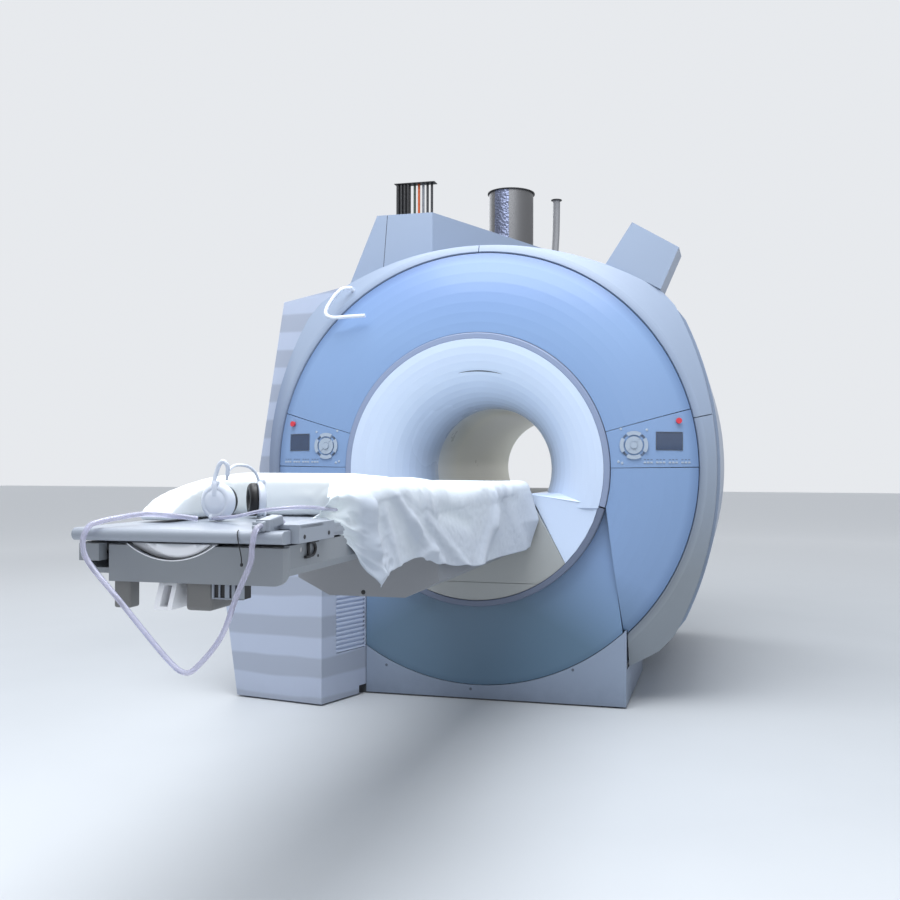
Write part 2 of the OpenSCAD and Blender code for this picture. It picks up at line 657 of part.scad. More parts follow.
module stop_button_left() stop_button(-1);

// Lift: posts and screw stand on the base frame, the carriage runs on them
screw_f = (carriage_f0 + carriage_f1) / 2;
module lift_rails() color("silver") {
  for (s = [-1, 1]) {
    front_block(post_f - post_t, post_f) translate([s * lug_x - lug_w / 2, base_t])
      square([lug_w, lug_top - base_t - 2]);
    front_block(post_f - 1, plinth_f - cover_wall)
      translate([s * lug_x - lug_w / 2, 120]) square([lug_w, 60]);
  }
  translate([0, -screw_f, base_t]) cylinder(d = screw_d, h = lug_top - base_t - 2);
}
module lift_carriage() color("dimgray") {
  difference() {
    front_block(carriage_f0, carriage_f1)
      translate([-lug_x - 60, lug_top - lug_h]) square([2 * lug_x + 120, lug_h]);
    translate([0, -screw_f, lug_top - lug_h - 1]) cylinder(d = screw_d + 0.1, h = lug_h + 2);
  }
  for (s = [-1, 1]) front_block(carriage_f1 - 1, apron_f - apron_t)
    translate([s * lug_x - lug_w / 2, lug_top - lug_h]) square([lug_w, lug_h]);
}
module apron() color("gainsboro") difference() {
  union() {
    front_block(apron_f - apron_t, apron_f) apron_outline();
    front_block(apron_f - 1, apron_f + 2) intersection() {
      apron_outline();
      translate([-700, 300]) square([1400, lens_z - 2 - 300]);
    }
  }
  front_block(apron_f - 4, apron_f + 5) translate([-700, lens_z - 2]) square([1400, 3]);
}
module lower_rim() color("silver") {
  about_bore(-180 + left_a, -split_a - 0.3) rim_section();
  intersection() {
    about_bore(-130, -50) tube_profile(rim_in - 26, rim_in + 1, lift_back, apron_f - apron_t);
    front_block(800, 1100) translate([-700, 300]) square([1400, 350]);
  }
}
module trunk() color("darkgray")
  front_block(apron_f, trunk_f) polygon([[-board_x + 5, trough_bot], [-board_x + 5, trough_bot - 137],
    [-132, trunk_bot], [132, trunk_bot], [board_x - 5, trough_bot - 137], [board_x - 5, trough_bot]]);
module trough() color("gainsboro") difference() {
  front_block(apron_f, board_out - 44) difference() {
    polygon([[-board_x, trough_top], [-board_x, trough_bot + 20], [-board_x + 20, trough_bot],
      [board_x - 20, trough_bot], [board_x, trough_bot + 20], [board_x, trough_top]]);
    polygon([[-board_x + trough_wall, trough_top + 1], [-board_x + trough_wall, trough_bot + 26],
      [-board_x + 28, trough_bot + 12], [board_x - 28, trough_bot + 12],
      [board_x - trough_wall, trough_bot + 26], [board_x - trough_wall, trough_top + 1]]);
  }
  for (f = roller_f) translate([-board_x - 1, -f, roller_z]) rotate([0, 90, 0])
    cylinder(d = 12, h = 2 * board_x + 2);
}
roller_f = [1060, 1500, 2000, 2500, 3000, 3300];
module table_rollers() color("dimgray")
  for (f = roller_f) translate([0, -f, roller_z]) rotate([0, 90, 0]) {
    translate([0, 0, -board_x + trough_wall + 3]) cylinder(d = roller_d, h = 2 * (board_x - trough_wall - 3));
    translate([0, 0, -board_x + 1]) cylinder(d = 12, h = 2 * board_x - 2);
  }
// Panel across the room end of the trough, with the hand hole in its top edge
module end_panel() color("gainsboro") {
  difference() {
    front_block(board_out - 44, board_out - 32) difference() {
      union() {
        translate([-182, trough_bot - 16]) square([182 + board_x - 30, trough_top - trough_bot + 11]);
        translate([board_x - 31, trough_bot + 14]) square([31, trough_top - trough_bot - 19]);
        translate([board_x - 30, trough_bot + 14]) circle(r = 30);
      }
      translate([-28, trough_top + 145]) circle(r = 182);
    }
    translate([board_x - 12, -board_out + 30, 0]) rotate([0, 0, -45]) cube([40, 40, 2000]);
  }
  // Bracket in the left corner
  front_block(board_out - 44, board_out - 16) translate([-board_x + 4, trough_top - 40]) square([50, 38]);
}
module under_boxes() color("bisque") {
  front_block(board_out - 120, board_out - 50) translate([-182, trough_bot - 78]) square([68, 78]);
  front_block(board_out - 140, board_out - 50) difference() {
    translate([-78, trough_bot - 88]) square([66, 88]);
    translate([-56, trough_bot - 76]) square([22, 52]);
  }
  front_block(board_out - 140, board_out - 48) translate([-6, trough_bot - 84]) square([76, 84]);
}
module coil_sockets() color("black") {
  for (i = [0:3]) translate([92 + i * 23, -board_out + 50, trough_bot - 28]) rotate([90, 0, 0])
    cylinder(d = 18, h = 12);
  front_block(board_out - 80, board_out - 49) translate([80, trough_bot - 40]) square([94, 40]);
}
module tabletop() color("white") {
  front_block(board_in, board_out - 40) translate([-board_x, board_bot]) square([2 * board_x, board_t]);
  front_block(board_out - 41, board_out - board_t / 2) translate([-board_x - 4, board_bot])
    square([2 * board_x + 8, board_t]);
  translate([-board_x - 4, -board_out + board_t / 2, board_bot + board_t / 2]) rotate([0, 90, 0])
    cylinder(d = board_t, h = 2 * board_x + 8);
}
module table_fittings() color("gainsboro") {
  translate([board_x, -board_out + 44, board_bot]) cube([22, 180, board_t + 12]);
  translate([board_x, -board_out + 230, board_bot + 8]) cube([3, 1700, 12]);
  translate([190, -board_out + 8, table_top_z]) difference() {
    cube([32, 46, 24]);
    translate([16, -1, 13]) rotate([-90, 0, 0]) cylinder(d = tube_d + 1, h = 60);
  }
}
module latch() color("black") translate([board_x + 0.5, -board_out + 130, board_bot - 38]) {
  difference() {
    cube([8, 44, 34]);
    translate([-1, 12, 8]) cube([10, 20, 18]);
  }
}
module soft_block(x, f0, f1, z0, z1, r) {
  hull() for (s = [-1, 1], f = [f0 + r, f1 - r]) {
    translate([s * (x - r), -f, z0]) cylinder(r = r, h = (z1 - z0) * 0.45, $fn = 32);
    translate([s * (x - r * 1.3), -f, z0]) cylinder(r = r * 0.75, h = z1 - z0, $fn = 32);
  }
}
// Extrudes a [y, z] side view across the table
module side_block(x0, x1) {
  translate([x0, 0, 0]) rotate([90, 0, 90]) linear_extrude(x1 - x0) children();
}
pad_start = 2150;
pad_end = 3220;
pad_top = [[-pad_end, 972], [-3200, 985], [-3100, 1030], [-3020, 1057], [-2940, 1073], [-2800, 1080],
  [-2700, 1074], [-2500, 1061], [-2310, 1059], [-2190, 1030], [-pad_start, 1015]];
module mattress() color("white")
  soft_block(board_x - 14, board_in + 8, pad_start - 3, table_top_z + seat, table_top_z + mattress_t, 30);
module head_pad() color("white") difference() {
  side_block(-board_x + 14, board_x - 14)
    polygon(concat(pad_top, [[-pad_start, table_top_z + seat], [-pad_end, table_top_z + seat]]));
  translate([-135, -pad_end - 1, 900]) cube([600, 310, 300]);
}
sheet_t = 4;
sheet_top = [[-3100, 1030], [-3020, 1057], [-2940, 1073], [-2800, 1080], [-2700, 1074], [-2500, 1061],
  [-2310, 1059], [-2190, 1030], [-pad_start, 1015.6], [-1030, 1015.6]];
module sheet() color("white") {
  difference() {
    side_block(-board_x + 4, board_x + 12)
      polygon(concat([for (v = sheet_top) v + [0, seat]],
        [for (v = reverse(sheet_top)) v + [0, seat + sheet_t]]));
    translate([0, 0, 900]) linear_extrude(300) polygon([[-board_x - 10, -2190], [-board_x - 10, -3300],
      [board_x, -3300], [board_x, -3090]]);
  }
  side_block(board_x + 12, board_x + 12 + sheet_t)
    polygon(concat([for (v = sheet_top) v + [0, seat + sheet_t]], [[-1030, 728], [-1693, 735], [-2142, 760],
      [-2395, 794], [-2689, 828], [-2861, 830], [-2985, 804], [-3115, 965]]));
}
// Headset standing on the table: two cups and the band over them
cup_l = [-60, -3130];
cup_r = [-25, -2970];
cup_z = table_top_z + cup_d / 2 + seat;
cup_a = atan2(cup_r[1] - cup_l[1], cup_r[0] - cup_l[0]);
cup_gap = norm(cup_r - cup_l);
band_r = cup_gap / 2 + 8;
// Along the line through both cups, from the middle of the left one
module headset_frame() {
  translate([cup_l[0], cup_l[1], cup_z]) rotate([0, 0, cup_a]) children();
}
module headset() color("white") headset_frame() {
  rotate([0, 90, 0]) translate([0, 0, -14]) cylinder(d = cup_d, h = 20);
  translate([cup_gap, 0, 0]) rotate([0, 90, 0]) translate([0, 0, -6]) cylinder(d = cup_d, h = 20);
  translate([cup_gap / 2, 0, 0]) rotate([90, 0, 0]) rotate_extrude(angle = 180) translate([band_r, 0])
    square([7, 16], center = true);
}
module ear_pads() color("black") headset_frame() {
  translate([6 + seat, 0, 0]) rotate([0, 90, 0]) tube_pad();
  translate([cup_gap - 6 - seat - 20, 0, 0]) rotate([0, 90, 0]) tube_pad();
}
module tube_pad() difference() {
  cylinder(d = cup_d - 8, h = 20);
  translate([0, 0, -1]) cylinder(d = 38, h = 22);
}
tube_pts = [[206, -3300, 978], [206, -3340, 978], [206, -3396, 978], [204, -3420, 968],
  [200, -3426, 935],
  [197, -3428, 900], [167, -3430, 832], [133, -3430, 748], [79, -3430, 684], [46, -3430, 668], [0, -3430, 700],
  [-112, -3428, 814], [-189, -3426, 892], [-206, -3424, 935], [-202, -3412, 968], [-190, -3394, 978],
  [-173, -3354, 985], [-153, -3277, 990], [-110, -3200, 980], [-80, -3176, 974]];
module air_tube() color("thistle") swept(spline(tube_pts, 4), tube_d);

base_frame();
magnet_vessel();
gradient_coil();
body_coil();
bore_liner();
bore_bridge();
funnel();
funnel_rim();
rear_cover();
barrel_cover();
cover_frame();
rim_covers_top();
rim_cover_low();
dome_cover_upper();
dome_covers_low();
centre_panel();
plinth_cover();
side_cover_left();
cabinet();
cabinet_grille();
turret_cover();
coldhead_cover();
coil_hook();
quench_pipe();
ceiling_plates();
ceiling_cables();
water_hose();
control_panels();
displays();
dial_right();
dial_left();
arrow_r_out();
arrow_r_up();
arrow_r_in();
arrow_r_down();
arrow_l_in();
arrow_l_up();
arrow_l_out();
arrow_l_down();
stop_button_right();
stop_button_left();
lift_rails();
lift_carriage();
apron();
lower_rim();
trunk();
trough();
table_rollers();
end_panel();
under_boxes();
coil_sockets();
tabletop();
table_fittings();
latch();
mattress();
head_pad();
sheet();
headset();
ear_pads();
air_tube();
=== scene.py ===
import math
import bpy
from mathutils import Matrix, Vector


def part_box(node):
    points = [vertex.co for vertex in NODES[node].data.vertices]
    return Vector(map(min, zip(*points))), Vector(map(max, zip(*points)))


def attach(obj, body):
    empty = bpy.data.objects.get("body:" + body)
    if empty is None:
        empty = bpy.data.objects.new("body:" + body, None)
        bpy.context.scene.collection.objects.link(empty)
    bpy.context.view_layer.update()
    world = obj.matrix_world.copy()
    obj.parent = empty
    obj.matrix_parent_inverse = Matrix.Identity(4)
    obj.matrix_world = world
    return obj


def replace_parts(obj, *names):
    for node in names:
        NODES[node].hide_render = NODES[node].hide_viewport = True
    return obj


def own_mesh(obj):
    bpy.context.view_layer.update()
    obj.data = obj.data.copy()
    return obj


bl_info = {
    "name": "Magnetic resonance scanner",
    "version": (1, 0, 0),
    "blender": (4, 5, 0),
    "location": "View3D > Sidebar > Scanner",
    "description": "Finishes, soft goods, services and a studio for a hospital magnetic resonance scanner",
    "category": "Object",
}

import bmesh
import bpy
from mathutils import Matrix, Vector, noise

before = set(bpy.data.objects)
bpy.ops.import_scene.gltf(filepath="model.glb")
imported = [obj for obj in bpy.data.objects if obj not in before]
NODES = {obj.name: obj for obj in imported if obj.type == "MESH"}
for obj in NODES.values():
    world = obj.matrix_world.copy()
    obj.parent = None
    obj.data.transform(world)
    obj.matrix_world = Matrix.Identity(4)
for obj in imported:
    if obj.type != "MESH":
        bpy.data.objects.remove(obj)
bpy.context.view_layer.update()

# Heights of the isocentre and of the tabletop, in metres, as in the solid model
ISO, TABLE_Z = 1.075, 0.965
# Domed front of the solid model: inner and outer radius, foremost point and fall from edge to edge
DOME_IN, DOME_OUT, DOME_FRONT, DOME_DROP = 0.636, 1.018, 1.000, 0.080
QUARTER = math.pi / 2


# ---------------------------------------------------------------- settings

def colour_setting(name, description, default):
    return bpy.props.FloatVectorProperty(name=name, description=description, subtype="COLOR", size=3,
                                         min=0, max=1, default=default)


def length_setting(name, description, default, low, high):
    return bpy.props.FloatProperty(name=name, description=description, subtype="DISTANCE", unit="LENGTH",
                                   default=default, min=low, max=high)


class ScannerColours(bpy.types.PropertyGroup):
    """Colours of the covers, the table and the soft goods"""

    front_blue: colour_setting("Front blue", "Domed front cover and centre panel", (0.212, 0.328, 0.545))
    cover_white: colour_setting("Cover white", "Outer covers of the magnet", (0.300, 0.365, 0.480))
    # Colour of the painted shadow stripes, as a window blind casts them, on the side cover and cabinet
    cover_band: colour_setting("Cover band", "Darker soft bands on the side cover and cabinet",
                               (0.360, 0.400, 0.490))
    funnel_white: colour_setting("Funnel white", "Glossy funnel and bore", (0.580, 0.680, 0.850))
    bore_cream: colour_setting("Bore cream", "Inside of the bore tube", (0.980, 0.950, 0.780))
    rim_lavender: colour_setting("Rim lavender", "Flat band round the funnel", (0.245, 0.300, 0.440))
    side_white: colour_setting("Side white", "Tall side cover and floor cabinet", (0.450, 0.505, 0.630))
    apron_grey: colour_setting("Apron grey", "Apron under the mouth of the funnel", (0.385, 0.400, 0.395))
    table_grey: colour_setting("Table grey", "Trough, track and end panel", (0.255, 0.275, 0.300))
    trunk_grey: colour_setting("Trunk grey", "Beam under the trough", (0.285, 0.292, 0.310))
    top_white: colour_setting("Top white", "Tabletop and the blocks on it", (0.305, 0.337, 0.390))
    linen: colour_setting("Linen", "Sheet on the table", (0.880, 0.960, 1.000))
    vinyl: colour_setting("Vinyl", "Mattress and head pad", (0.940, 0.990, 1.000))


class ScannerSizes(bpy.types.PropertyGroup):
    """Sizes that a user would change"""

    fold_depth: length_setting("Fold depth", "Depth of the folds in the hanging side of the sheet",
                               0.016, 0.0, 0.03)
    pad_voxel: length_setting("Pad voxel", "Voxel size of the pads before they are inflated",
                              0.010, 0.006, 0.02)
    pad_limit: length_setting("Pad limit", "Most that a point of a pad may move", 0.006, 0.0, 0.02)
    pad_pressure: bpy.props.FloatProperty(
        name="Pad pressure", description="Pressure that swells the pads", default=3.0, min=0.0, max=6.0)
    lens: bpy.props.FloatProperty(
        name="Lens", description="Focal length of the camera in millimetres", default=37.67,
        min=20.0, max=80.0)


def settings():
    return bpy.context.scene.scanner_colours, bpy.context.scene.scanner_sizes


# ---------------------------------------------------------------- shader nodes and groups

# Numbers of the sockets of a Mix node that carry colour
MIX_A, MIX_B, MIX_RESULT = 6, 7, 2


def feed(tree, socket, value):
    """Wires another socket into this one, or sets its value."""
    if isinstance(value, bpy.types.NodeSocket):
        tree.links.new(value, socket)
    elif socket.type == "RGBA":
        socket.default_value = (*tuple(value)[:3], 1.0)
    else:
        socket.default_value = value


def add_node(tree, kind, inputs=None, **details):
    """A shader node with its details set, and its inputs fed by name or number."""
    node = tree.nodes.new("ShaderNode" + kind)
    for name, value in details.items():
        setattr(node, name, value)
    for key, value in (inputs or {}).items():
        feed(tree, node.inputs[key], value)
    return node


def math_node(tree, operation, *values, clamp=False):
    return add_node(tree, "Math", dict(enumerate(values)), operation=operation, use_clamp=clamp).outputs[0]


def noise_node(tree, vector, scale, detail=3.0, rough=0.5):
    return add_node(tree, "TexNoise", {"Vector": vector, "Scale": scale, "Detail": detail,
                                       "Roughness": rough}).outputs["Fac"]


def parts_of(tree, vector):
    """The X, Y and Z of a vector."""
    return add_node(tree, "SeparateXYZ", {0: vector}).outputs


def ranged(tree, value, to_low, to_high, low=0.0, high=1.0):
    """A value brought from the span low to high into another one."""
    return add_node(tree, "MapRange", {"Value": value, "From Min": low, "From Max": high,
                                       "To Min": to_low, "To Max": to_high}).outputs[0]


def mixed_colour(tree, factor, a, b, blend="MIX"):
    return add_node(tree, "Mix", {"Factor": factor, MIX_A: a, MIX_B: b}, data_type="RGBA",
                    blend_type=blend).outputs[MIX_RESULT]


def faded(tree, base, value, start, end, colour):
    """Fades a colour into another as a value goes from start to end."""
    return mixed_colour(tree, ranged(tree, value, 0.0, 1.0, start, end), base, colour)


def shade(colour, factor):
    return tuple(min(1.0, c * factor) for c in colour)


def mottled(tree, value, colour, low, high):
    """A colour times low to times high, as a value goes from 0 to 1."""
    return mixed_colour(tree, value, shade(colour, low), shade(colour, high))


def shader_group(name, numbers, results):
    """An empty group that takes a vector and numbers; returns it with what goes in and comes out."""
    group = bpy.data.node_groups.new(name, "ShaderNodeTree")
    group.interface.new_socket("Vector", in_out="INPUT", socket_type="NodeSocketVector")
    for label, value in numbers.items():
        group.interface.new_socket(label, in_out="INPUT", socket_type="NodeSocketFloat").default_value = value
    for label in results:
        group.interface.new_socket(label, in_out="OUTPUT", socket_type="NodeSocketFloat")
    into = group.nodes.new("NodeGroupInput").outputs
    return group, into, group.nodes.new("NodeGroupOutput").inputs


def soft_tone_group():
    """Broad uneven tone of a sprayed or moulded cover, and its fine orange-peel height."""
    group, into, out = shader_group("Soft tone", {"Tone scale": 1.6, "Peel scale": 260.0}, ["Tone", "Peel"])
    feed(group, out["Tone"], noise_node(group, into["Vector"], into["Tone scale"], 4.0))
    feed(group, out["Peel"], noise_node(group, into["Vector"], into["Peel scale"], 2.0))
    return group


def blind_shadow_band_group():
    """Soft level bands of painted shadow up a cover, as a window blind casts them, their edges a little wavy.
    """
    group, into, out = shader_group("Cover bands", {"Height": 0.184}, ["Band"])
    wave = noise_node(group, into["Vector"], 3.0, 1.0)
    lift = math_node(group, "MULTIPLY_ADD", wave, 0.03, parts_of(group, into["Vector"])["Z"])
    saw = math_node(group, "FRACT", math_node(group, "DIVIDE", lift, into["Height"]))
    near = math_node(group, "ABSOLUTE", math_node(group, "SUBTRACT", saw, 0.5))
    feed(group, out["Band"], math_node(group, "MULTIPLY_ADD", near, 16.0, -3.5, clamp=True))
    return group


def weave_group():
    """Plain weave of fine cotton on a UV map in metres."""
    group, into, out = shader_group("Plain weave", {"Threads per metre": 900.0}, ["Height", "Thread"])
    parts = parts_of(group, into["Vector"])
    turn = math_node(group, "MULTIPLY", into["Threads per metre"], math.pi)
    warp, weft = [math_node(group, "SINE", math_node(group, "MULTIPLY", parts[axis], turn)) for axis in "XY"]
    feed(group, out["Height"], math_node(group, "MULTIPLY", warp, weft))
    feed(group, out["Thread"], noise_node(group, into["Vector"], 60.0))
    return group


def floor_dust_group():
    """Mask of the scuffs and dust near the floor."""
    group, into, out = shader_group("Floor dust", {"Height": 0.22}, ["Mask"])
    rise = math_node(group, "DIVIDE", parts_of(group, into["Vector"])["Z"], into["Height"])
    fade = math_node(group, "POWER", math_node(group, "SUBTRACT", 1.0, rise, clamp=True), 2.0)
    patch = noise_node(group, into["Vector"], 9.0, 6.0, 0.65)
    feed(group, out["Mask"], math_node(group, "MULTIPLY", fade, patch))
    return group


def ring_group():
    """Distance from the bore axis."""
    group, into, out = shader_group("Ring distance", {}, ["Radius"])
    parts = parts_of(group, into["Vector"])
    rise = math_node(group, "SUBTRACT", parts["Z"], ISO)
    squares = [math_node(group, "POWER", leg, 2.0) for leg in (parts["X"], rise)]
    feed(group, out["Radius"], math_node(group, "SQRT", math_node(group, "ADD", *squares)))
    return group


GROUPS = {}
GROUP_MAKERS = {"tone": soft_tone_group, "bands": blind_shadow_band_group, "weave": weave_group, "dust": floor_dust_group,
                "ring": ring_group}


def group_node(tree, key, vector, **values):
    """What a shader group gives; the group is made once, and _ stands for a space in its inputs."""
    if key not in GROUPS:
        GROUPS[key] = GROUP_MAKERS[key]()
    inputs = {label.replace("_", " "): value for label, value in values.items()}
    return add_node(tree, "Group", {"Vector": vector, **inputs}, node_tree=GROUPS[key]).outputs


# ---------------------------------------------------------------- materials

def blank_material(name):
    material = bpy.data.materials.new(name)
    material.use_nodes = True
    tree = material.node_tree
    tree.nodes.clear()
    surface = add_node(tree, "BsdfPrincipled")
    add_node(tree, "OutputMaterial", {"Surface": surface.outputs[0]})
    return material, tree, surface, add_node(tree, "TexCoord").outputs["Object"]


def set_surface(tree, surface, relief, **values):
    """Feeds the surface's inputs, _ standing for a space, and its relief: height, strength, distance."""
    height, strength, distance = relief
    bump = add_node(tree, "Bump", {"Height": height, "Strength": strength, "Distance": distance})
    feed(tree, surface.inputs["Normal"], bump.outputs[0])
    for label, value in values.items():
        feed(tree, surface.inputs[label.replace("_", " ")], value)


def own_colour(value):
    """A colour from its numbers, from the name of a setting, or from such a name and a factor."""
    if isinstance(value, str):
        value = (value, 1.0)
    if isinstance(value[0], str):
        return shade(getattr(settings()[0], value[0]), value[1])
    return value


def moulded_cover(name, colour, spread, rough, peel, dust=0.0, bands=None, coat=0.0, tone_scale=1.6,
                  fades=()):
    """Painted or moulded cover: uneven tone, orange peel, dust at the floor, soft bands of painted shadow if
    asked.

    The fades are painted shade: darkenings along an axis, the radius R or towards the low middle, from one
    place to another, and their factors."""
    material, tree, surface, place = blank_material(name)
    tone = group_node(tree, "tone", place, Tone_scale=tone_scale)
    base = mottled(tree, tone["Tone"], colour, 1 - spread, 1 + spread)
    # Stripes of painted shadow, as a window blind casts them
    if bands is not None:
        base = mixed_colour(tree, group_node(tree, "bands", place)["Band"], base, own_colour(bands))
    # Painted shade: each fade darkens the cover where shade falls on it
    for way, start, end, factors in fades:
        if way == "R":
            value = group_node(tree, "ring", place)["Radius"]
        elif way == "low":
            parts = parts_of(tree, place)
            value = math_node(tree, "MULTIPLY_ADD", math_node(tree, "ABSOLUTE", parts["X"]), 0.6, parts["Z"])
        else:
            value = parts_of(tree, place)[way]
        base = faded(tree, base, value, start, end, mixed_colour(tree, 1.0, base, factors, "MULTIPLY"))
    if dust:
        part = math_node(tree, "MULTIPLY", group_node(tree, "dust", place)["Mask"], dust)
        base = mixed_colour(tree, part, base, shade(colour, 0.55))
    set_surface(tree, surface, (tone["Peel"], peel, 0.0004), Base_Color=base, Coat_Weight=coat,
                Coat_Roughness=0.12, Roughness=ranged(tree, tone["Tone"], rough - 0.06, rough + 0.06))
    return material


def bore_finish(name, funnel, cream):
    """Glossy funnel white that turns cream down the bore."""
    material, tree, surface, place = blank_material(name)
    cream = own_colour(cream)
    tone = group_node(tree, "tone", place, Tone_scale=2.4)
    base = faded(tree, funnel, parts_of(tree, place)["Y"], -0.85, -0.25, cream)
    base = mixed_colour(tree, ranged(tree, tone["Tone"], 0.0, 0.12), base, shade(cream, 0.8))
    set_surface(tree, surface, (tone["Peel"], 0.06, 0.0003), Base_Color=base, Coat_Weight=0.2,
                Roughness=ranged(tree, tone["Tone"], 0.24, 0.34))
    return material


def metal(name, colour, rough):
    """Bare metal with fine marks."""
    material, tree, surface, place = blank_material(name)
    marks = noise_node(tree, place, 90.0, 6.0, 0.7)
    set_surface(tree, surface, (marks, 0.1, 0.0003), Metallic=1.0,
                Base_Color=mottled(tree, marks, colour, 0.8, 1.1),
                Roughness=ranged(tree, marks, rough - 0.08, rough + 0.15))
    return material


def rubber(name, colour, rough):
    """Fine-grained rubber, leather or dull plastic."""
    material, tree, surface, place = blank_material(name)
    grain = noise_node(tree, place, 420.0)
    set_surface(tree, surface, (grain, 0.2, 0.0005), Base_Color=mottled(tree, grain, colour, 0.7, 1.3),
                Roughness=ranged(tree, grain, rough - 0.1, rough + 0.1))
    return material


# Painted shade of the hanging side of the sheet against its top, and where across the table it comes in
HANG_SHADE = (0.54, 0.55, 0.61)
HANG_SPAN = (0.235, 0.275)


def cotton(name, colour):
    """Washed cotton sheet: plain weave, slubs, a soft crumple and painted shade down its hanging side."""
    material, tree, surface, place = blank_material(name)
    weave = group_node(tree, "weave", add_node(tree, "TexCoord").outputs["UV"])
    cloud = noise_node(tree, place, 5.0, 4.0)
    base = mottled(tree, weave["Thread"], colour, 0.95, 1.03)
    base = mixed_colour(tree, ranged(tree, cloud, 0.0, 0.25), base, shade(colour, 0.88))
    # Painted shade down the hanging side of the sheet
    base = faded(tree, base, parts_of(tree, place)["X"], *HANG_SPAN,
                 tuple(c * f for c, f in zip(colour, HANG_SHADE)))
    crease = noise_node(tree, place, 22.0, 5.0, 0.6)
    height = math_node(tree, "MULTIPLY_ADD", crease, 10.0, weave["Height"])
    set_surface(tree, surface, (height, 0.35, 0.0006), Base_Color=base, Sheen_Weight=0.25,
                Sheen_Roughness=0.5, Roughness=ranged(tree, weave["Thread"], 0.78, 0.92))
    return material


def vinyl_cover(name, colour):
    """Wipe-clean coated fabric of the pads."""
    material, tree, surface, place = blank_material(name)
    tone = group_node(tree, "tone", place, Tone_scale=3.0, Peel_scale=700.0)
    height = math_node(tree, "MULTIPLY_ADD", noise_node(tree, place, 14.0), 6.0, tone["Peel"])
    set_surface(tree, surface, (height, 0.15, 0.0006),
                Base_Color=mottled(tree, tone["Tone"], colour, 0.95, 1.03),
                Roughness=ranged(tree, tone["Tone"], 0.42, 0.55))
    return material


def clear_hose(name, colour, pale):
    """Clear lilac air hose."""
    material, tree, surface, place = blank_material(name)
    haze = noise_node(tree, place, 40.0)
    set_surface(tree, surface, (haze, 0.1, 0.0005), Base_Color=mixed_colour(tree, haze, colour, pale),
                Roughness=0.12, Transmission_Weight=0.62, IOR=1.25, Coat_Weight=0.5)
    return material


def display_glass(name, colour, pale):
    """Dark glass of the displays."""
    material, tree, surface, place = blank_material(name)
    haze = noise_node(tree, place, 30.0, 2.0)
    set_surface(tree, surface, (haze, 0.02, 0.0002), Base_Color=mixed_colour(tree, haze, colour, pale),
                Roughness=0.12, Coat_Weight=0.6)
    return material


# Where each further service cable begins across the magnet, in metres, and its colour
CABLE_COLOURS = [(-0.848, (0.030, 0.050, 0.035)), (-0.8175, (0.480, 0.085, 0.015)),
                 (-0.7885, (0.170, 0.180, 0.200)), (-0.7595, (0.020, 0.020, 0.024))]


def cable_bundle(name, base):
    """Service cables in their own colours, one after another along X."""
    material, tree, surface, place = blank_material(name)
    across = parts_of(tree, place)["X"]
    for edge, colour in CABLE_COLOURS:
        base = mixed_colour(tree, math_node(tree, "GREATER_THAN", across, edge), base, colour)
    grain = noise_node(tree, place, 300.0)
    set_surface(tree, surface, (grain, 0.2, 0.0005), Base_Color=base, Roughness=ranged(tree, grain, 0.4, 0.6))
    return material


def duct_foil(name, colour, bright):
    """Smooth dull metal wrap of the quench pipe with one bright crinkled lap down its front."""
    material, tree, surface, place = blank_material(name)
    parts = parts_of(tree, place)
    wave = noise_node(tree, place, 26.0, 4.0, 0.7)
    across = math_node(tree, "MULTIPLY_ADD", wave, 0.02, parts["X"])
    away = math_node(tree, "ABSOLUTE", math_node(tree, "ADD", across, 0.300))
    lap = math_node(tree, "MULTIPLY", math_node(tree, "LESS_THAN", away, 0.050),
                    math_node(tree, "LESS_THAN", parts["Y"], 0.90))
    cells = add_node(tree, "TexVoronoi", {"Scale": 60.0, "Vector": place}).outputs["Distance"]
    crinkle = math_node(tree, "MULTIPLY", math_node(tree, "ADD", cells, wave), lap)
    set_surface(tree, surface, (math_node(tree, "MULTIPLY_ADD", wave, 0.15, crinkle), 0.4, 0.008),
                Metallic=1.0, Base_Color=mixed_colour(tree, lap, colour, bright),
                Roughness=ranged(tree, lap, 0.48, 0.36))
    return material


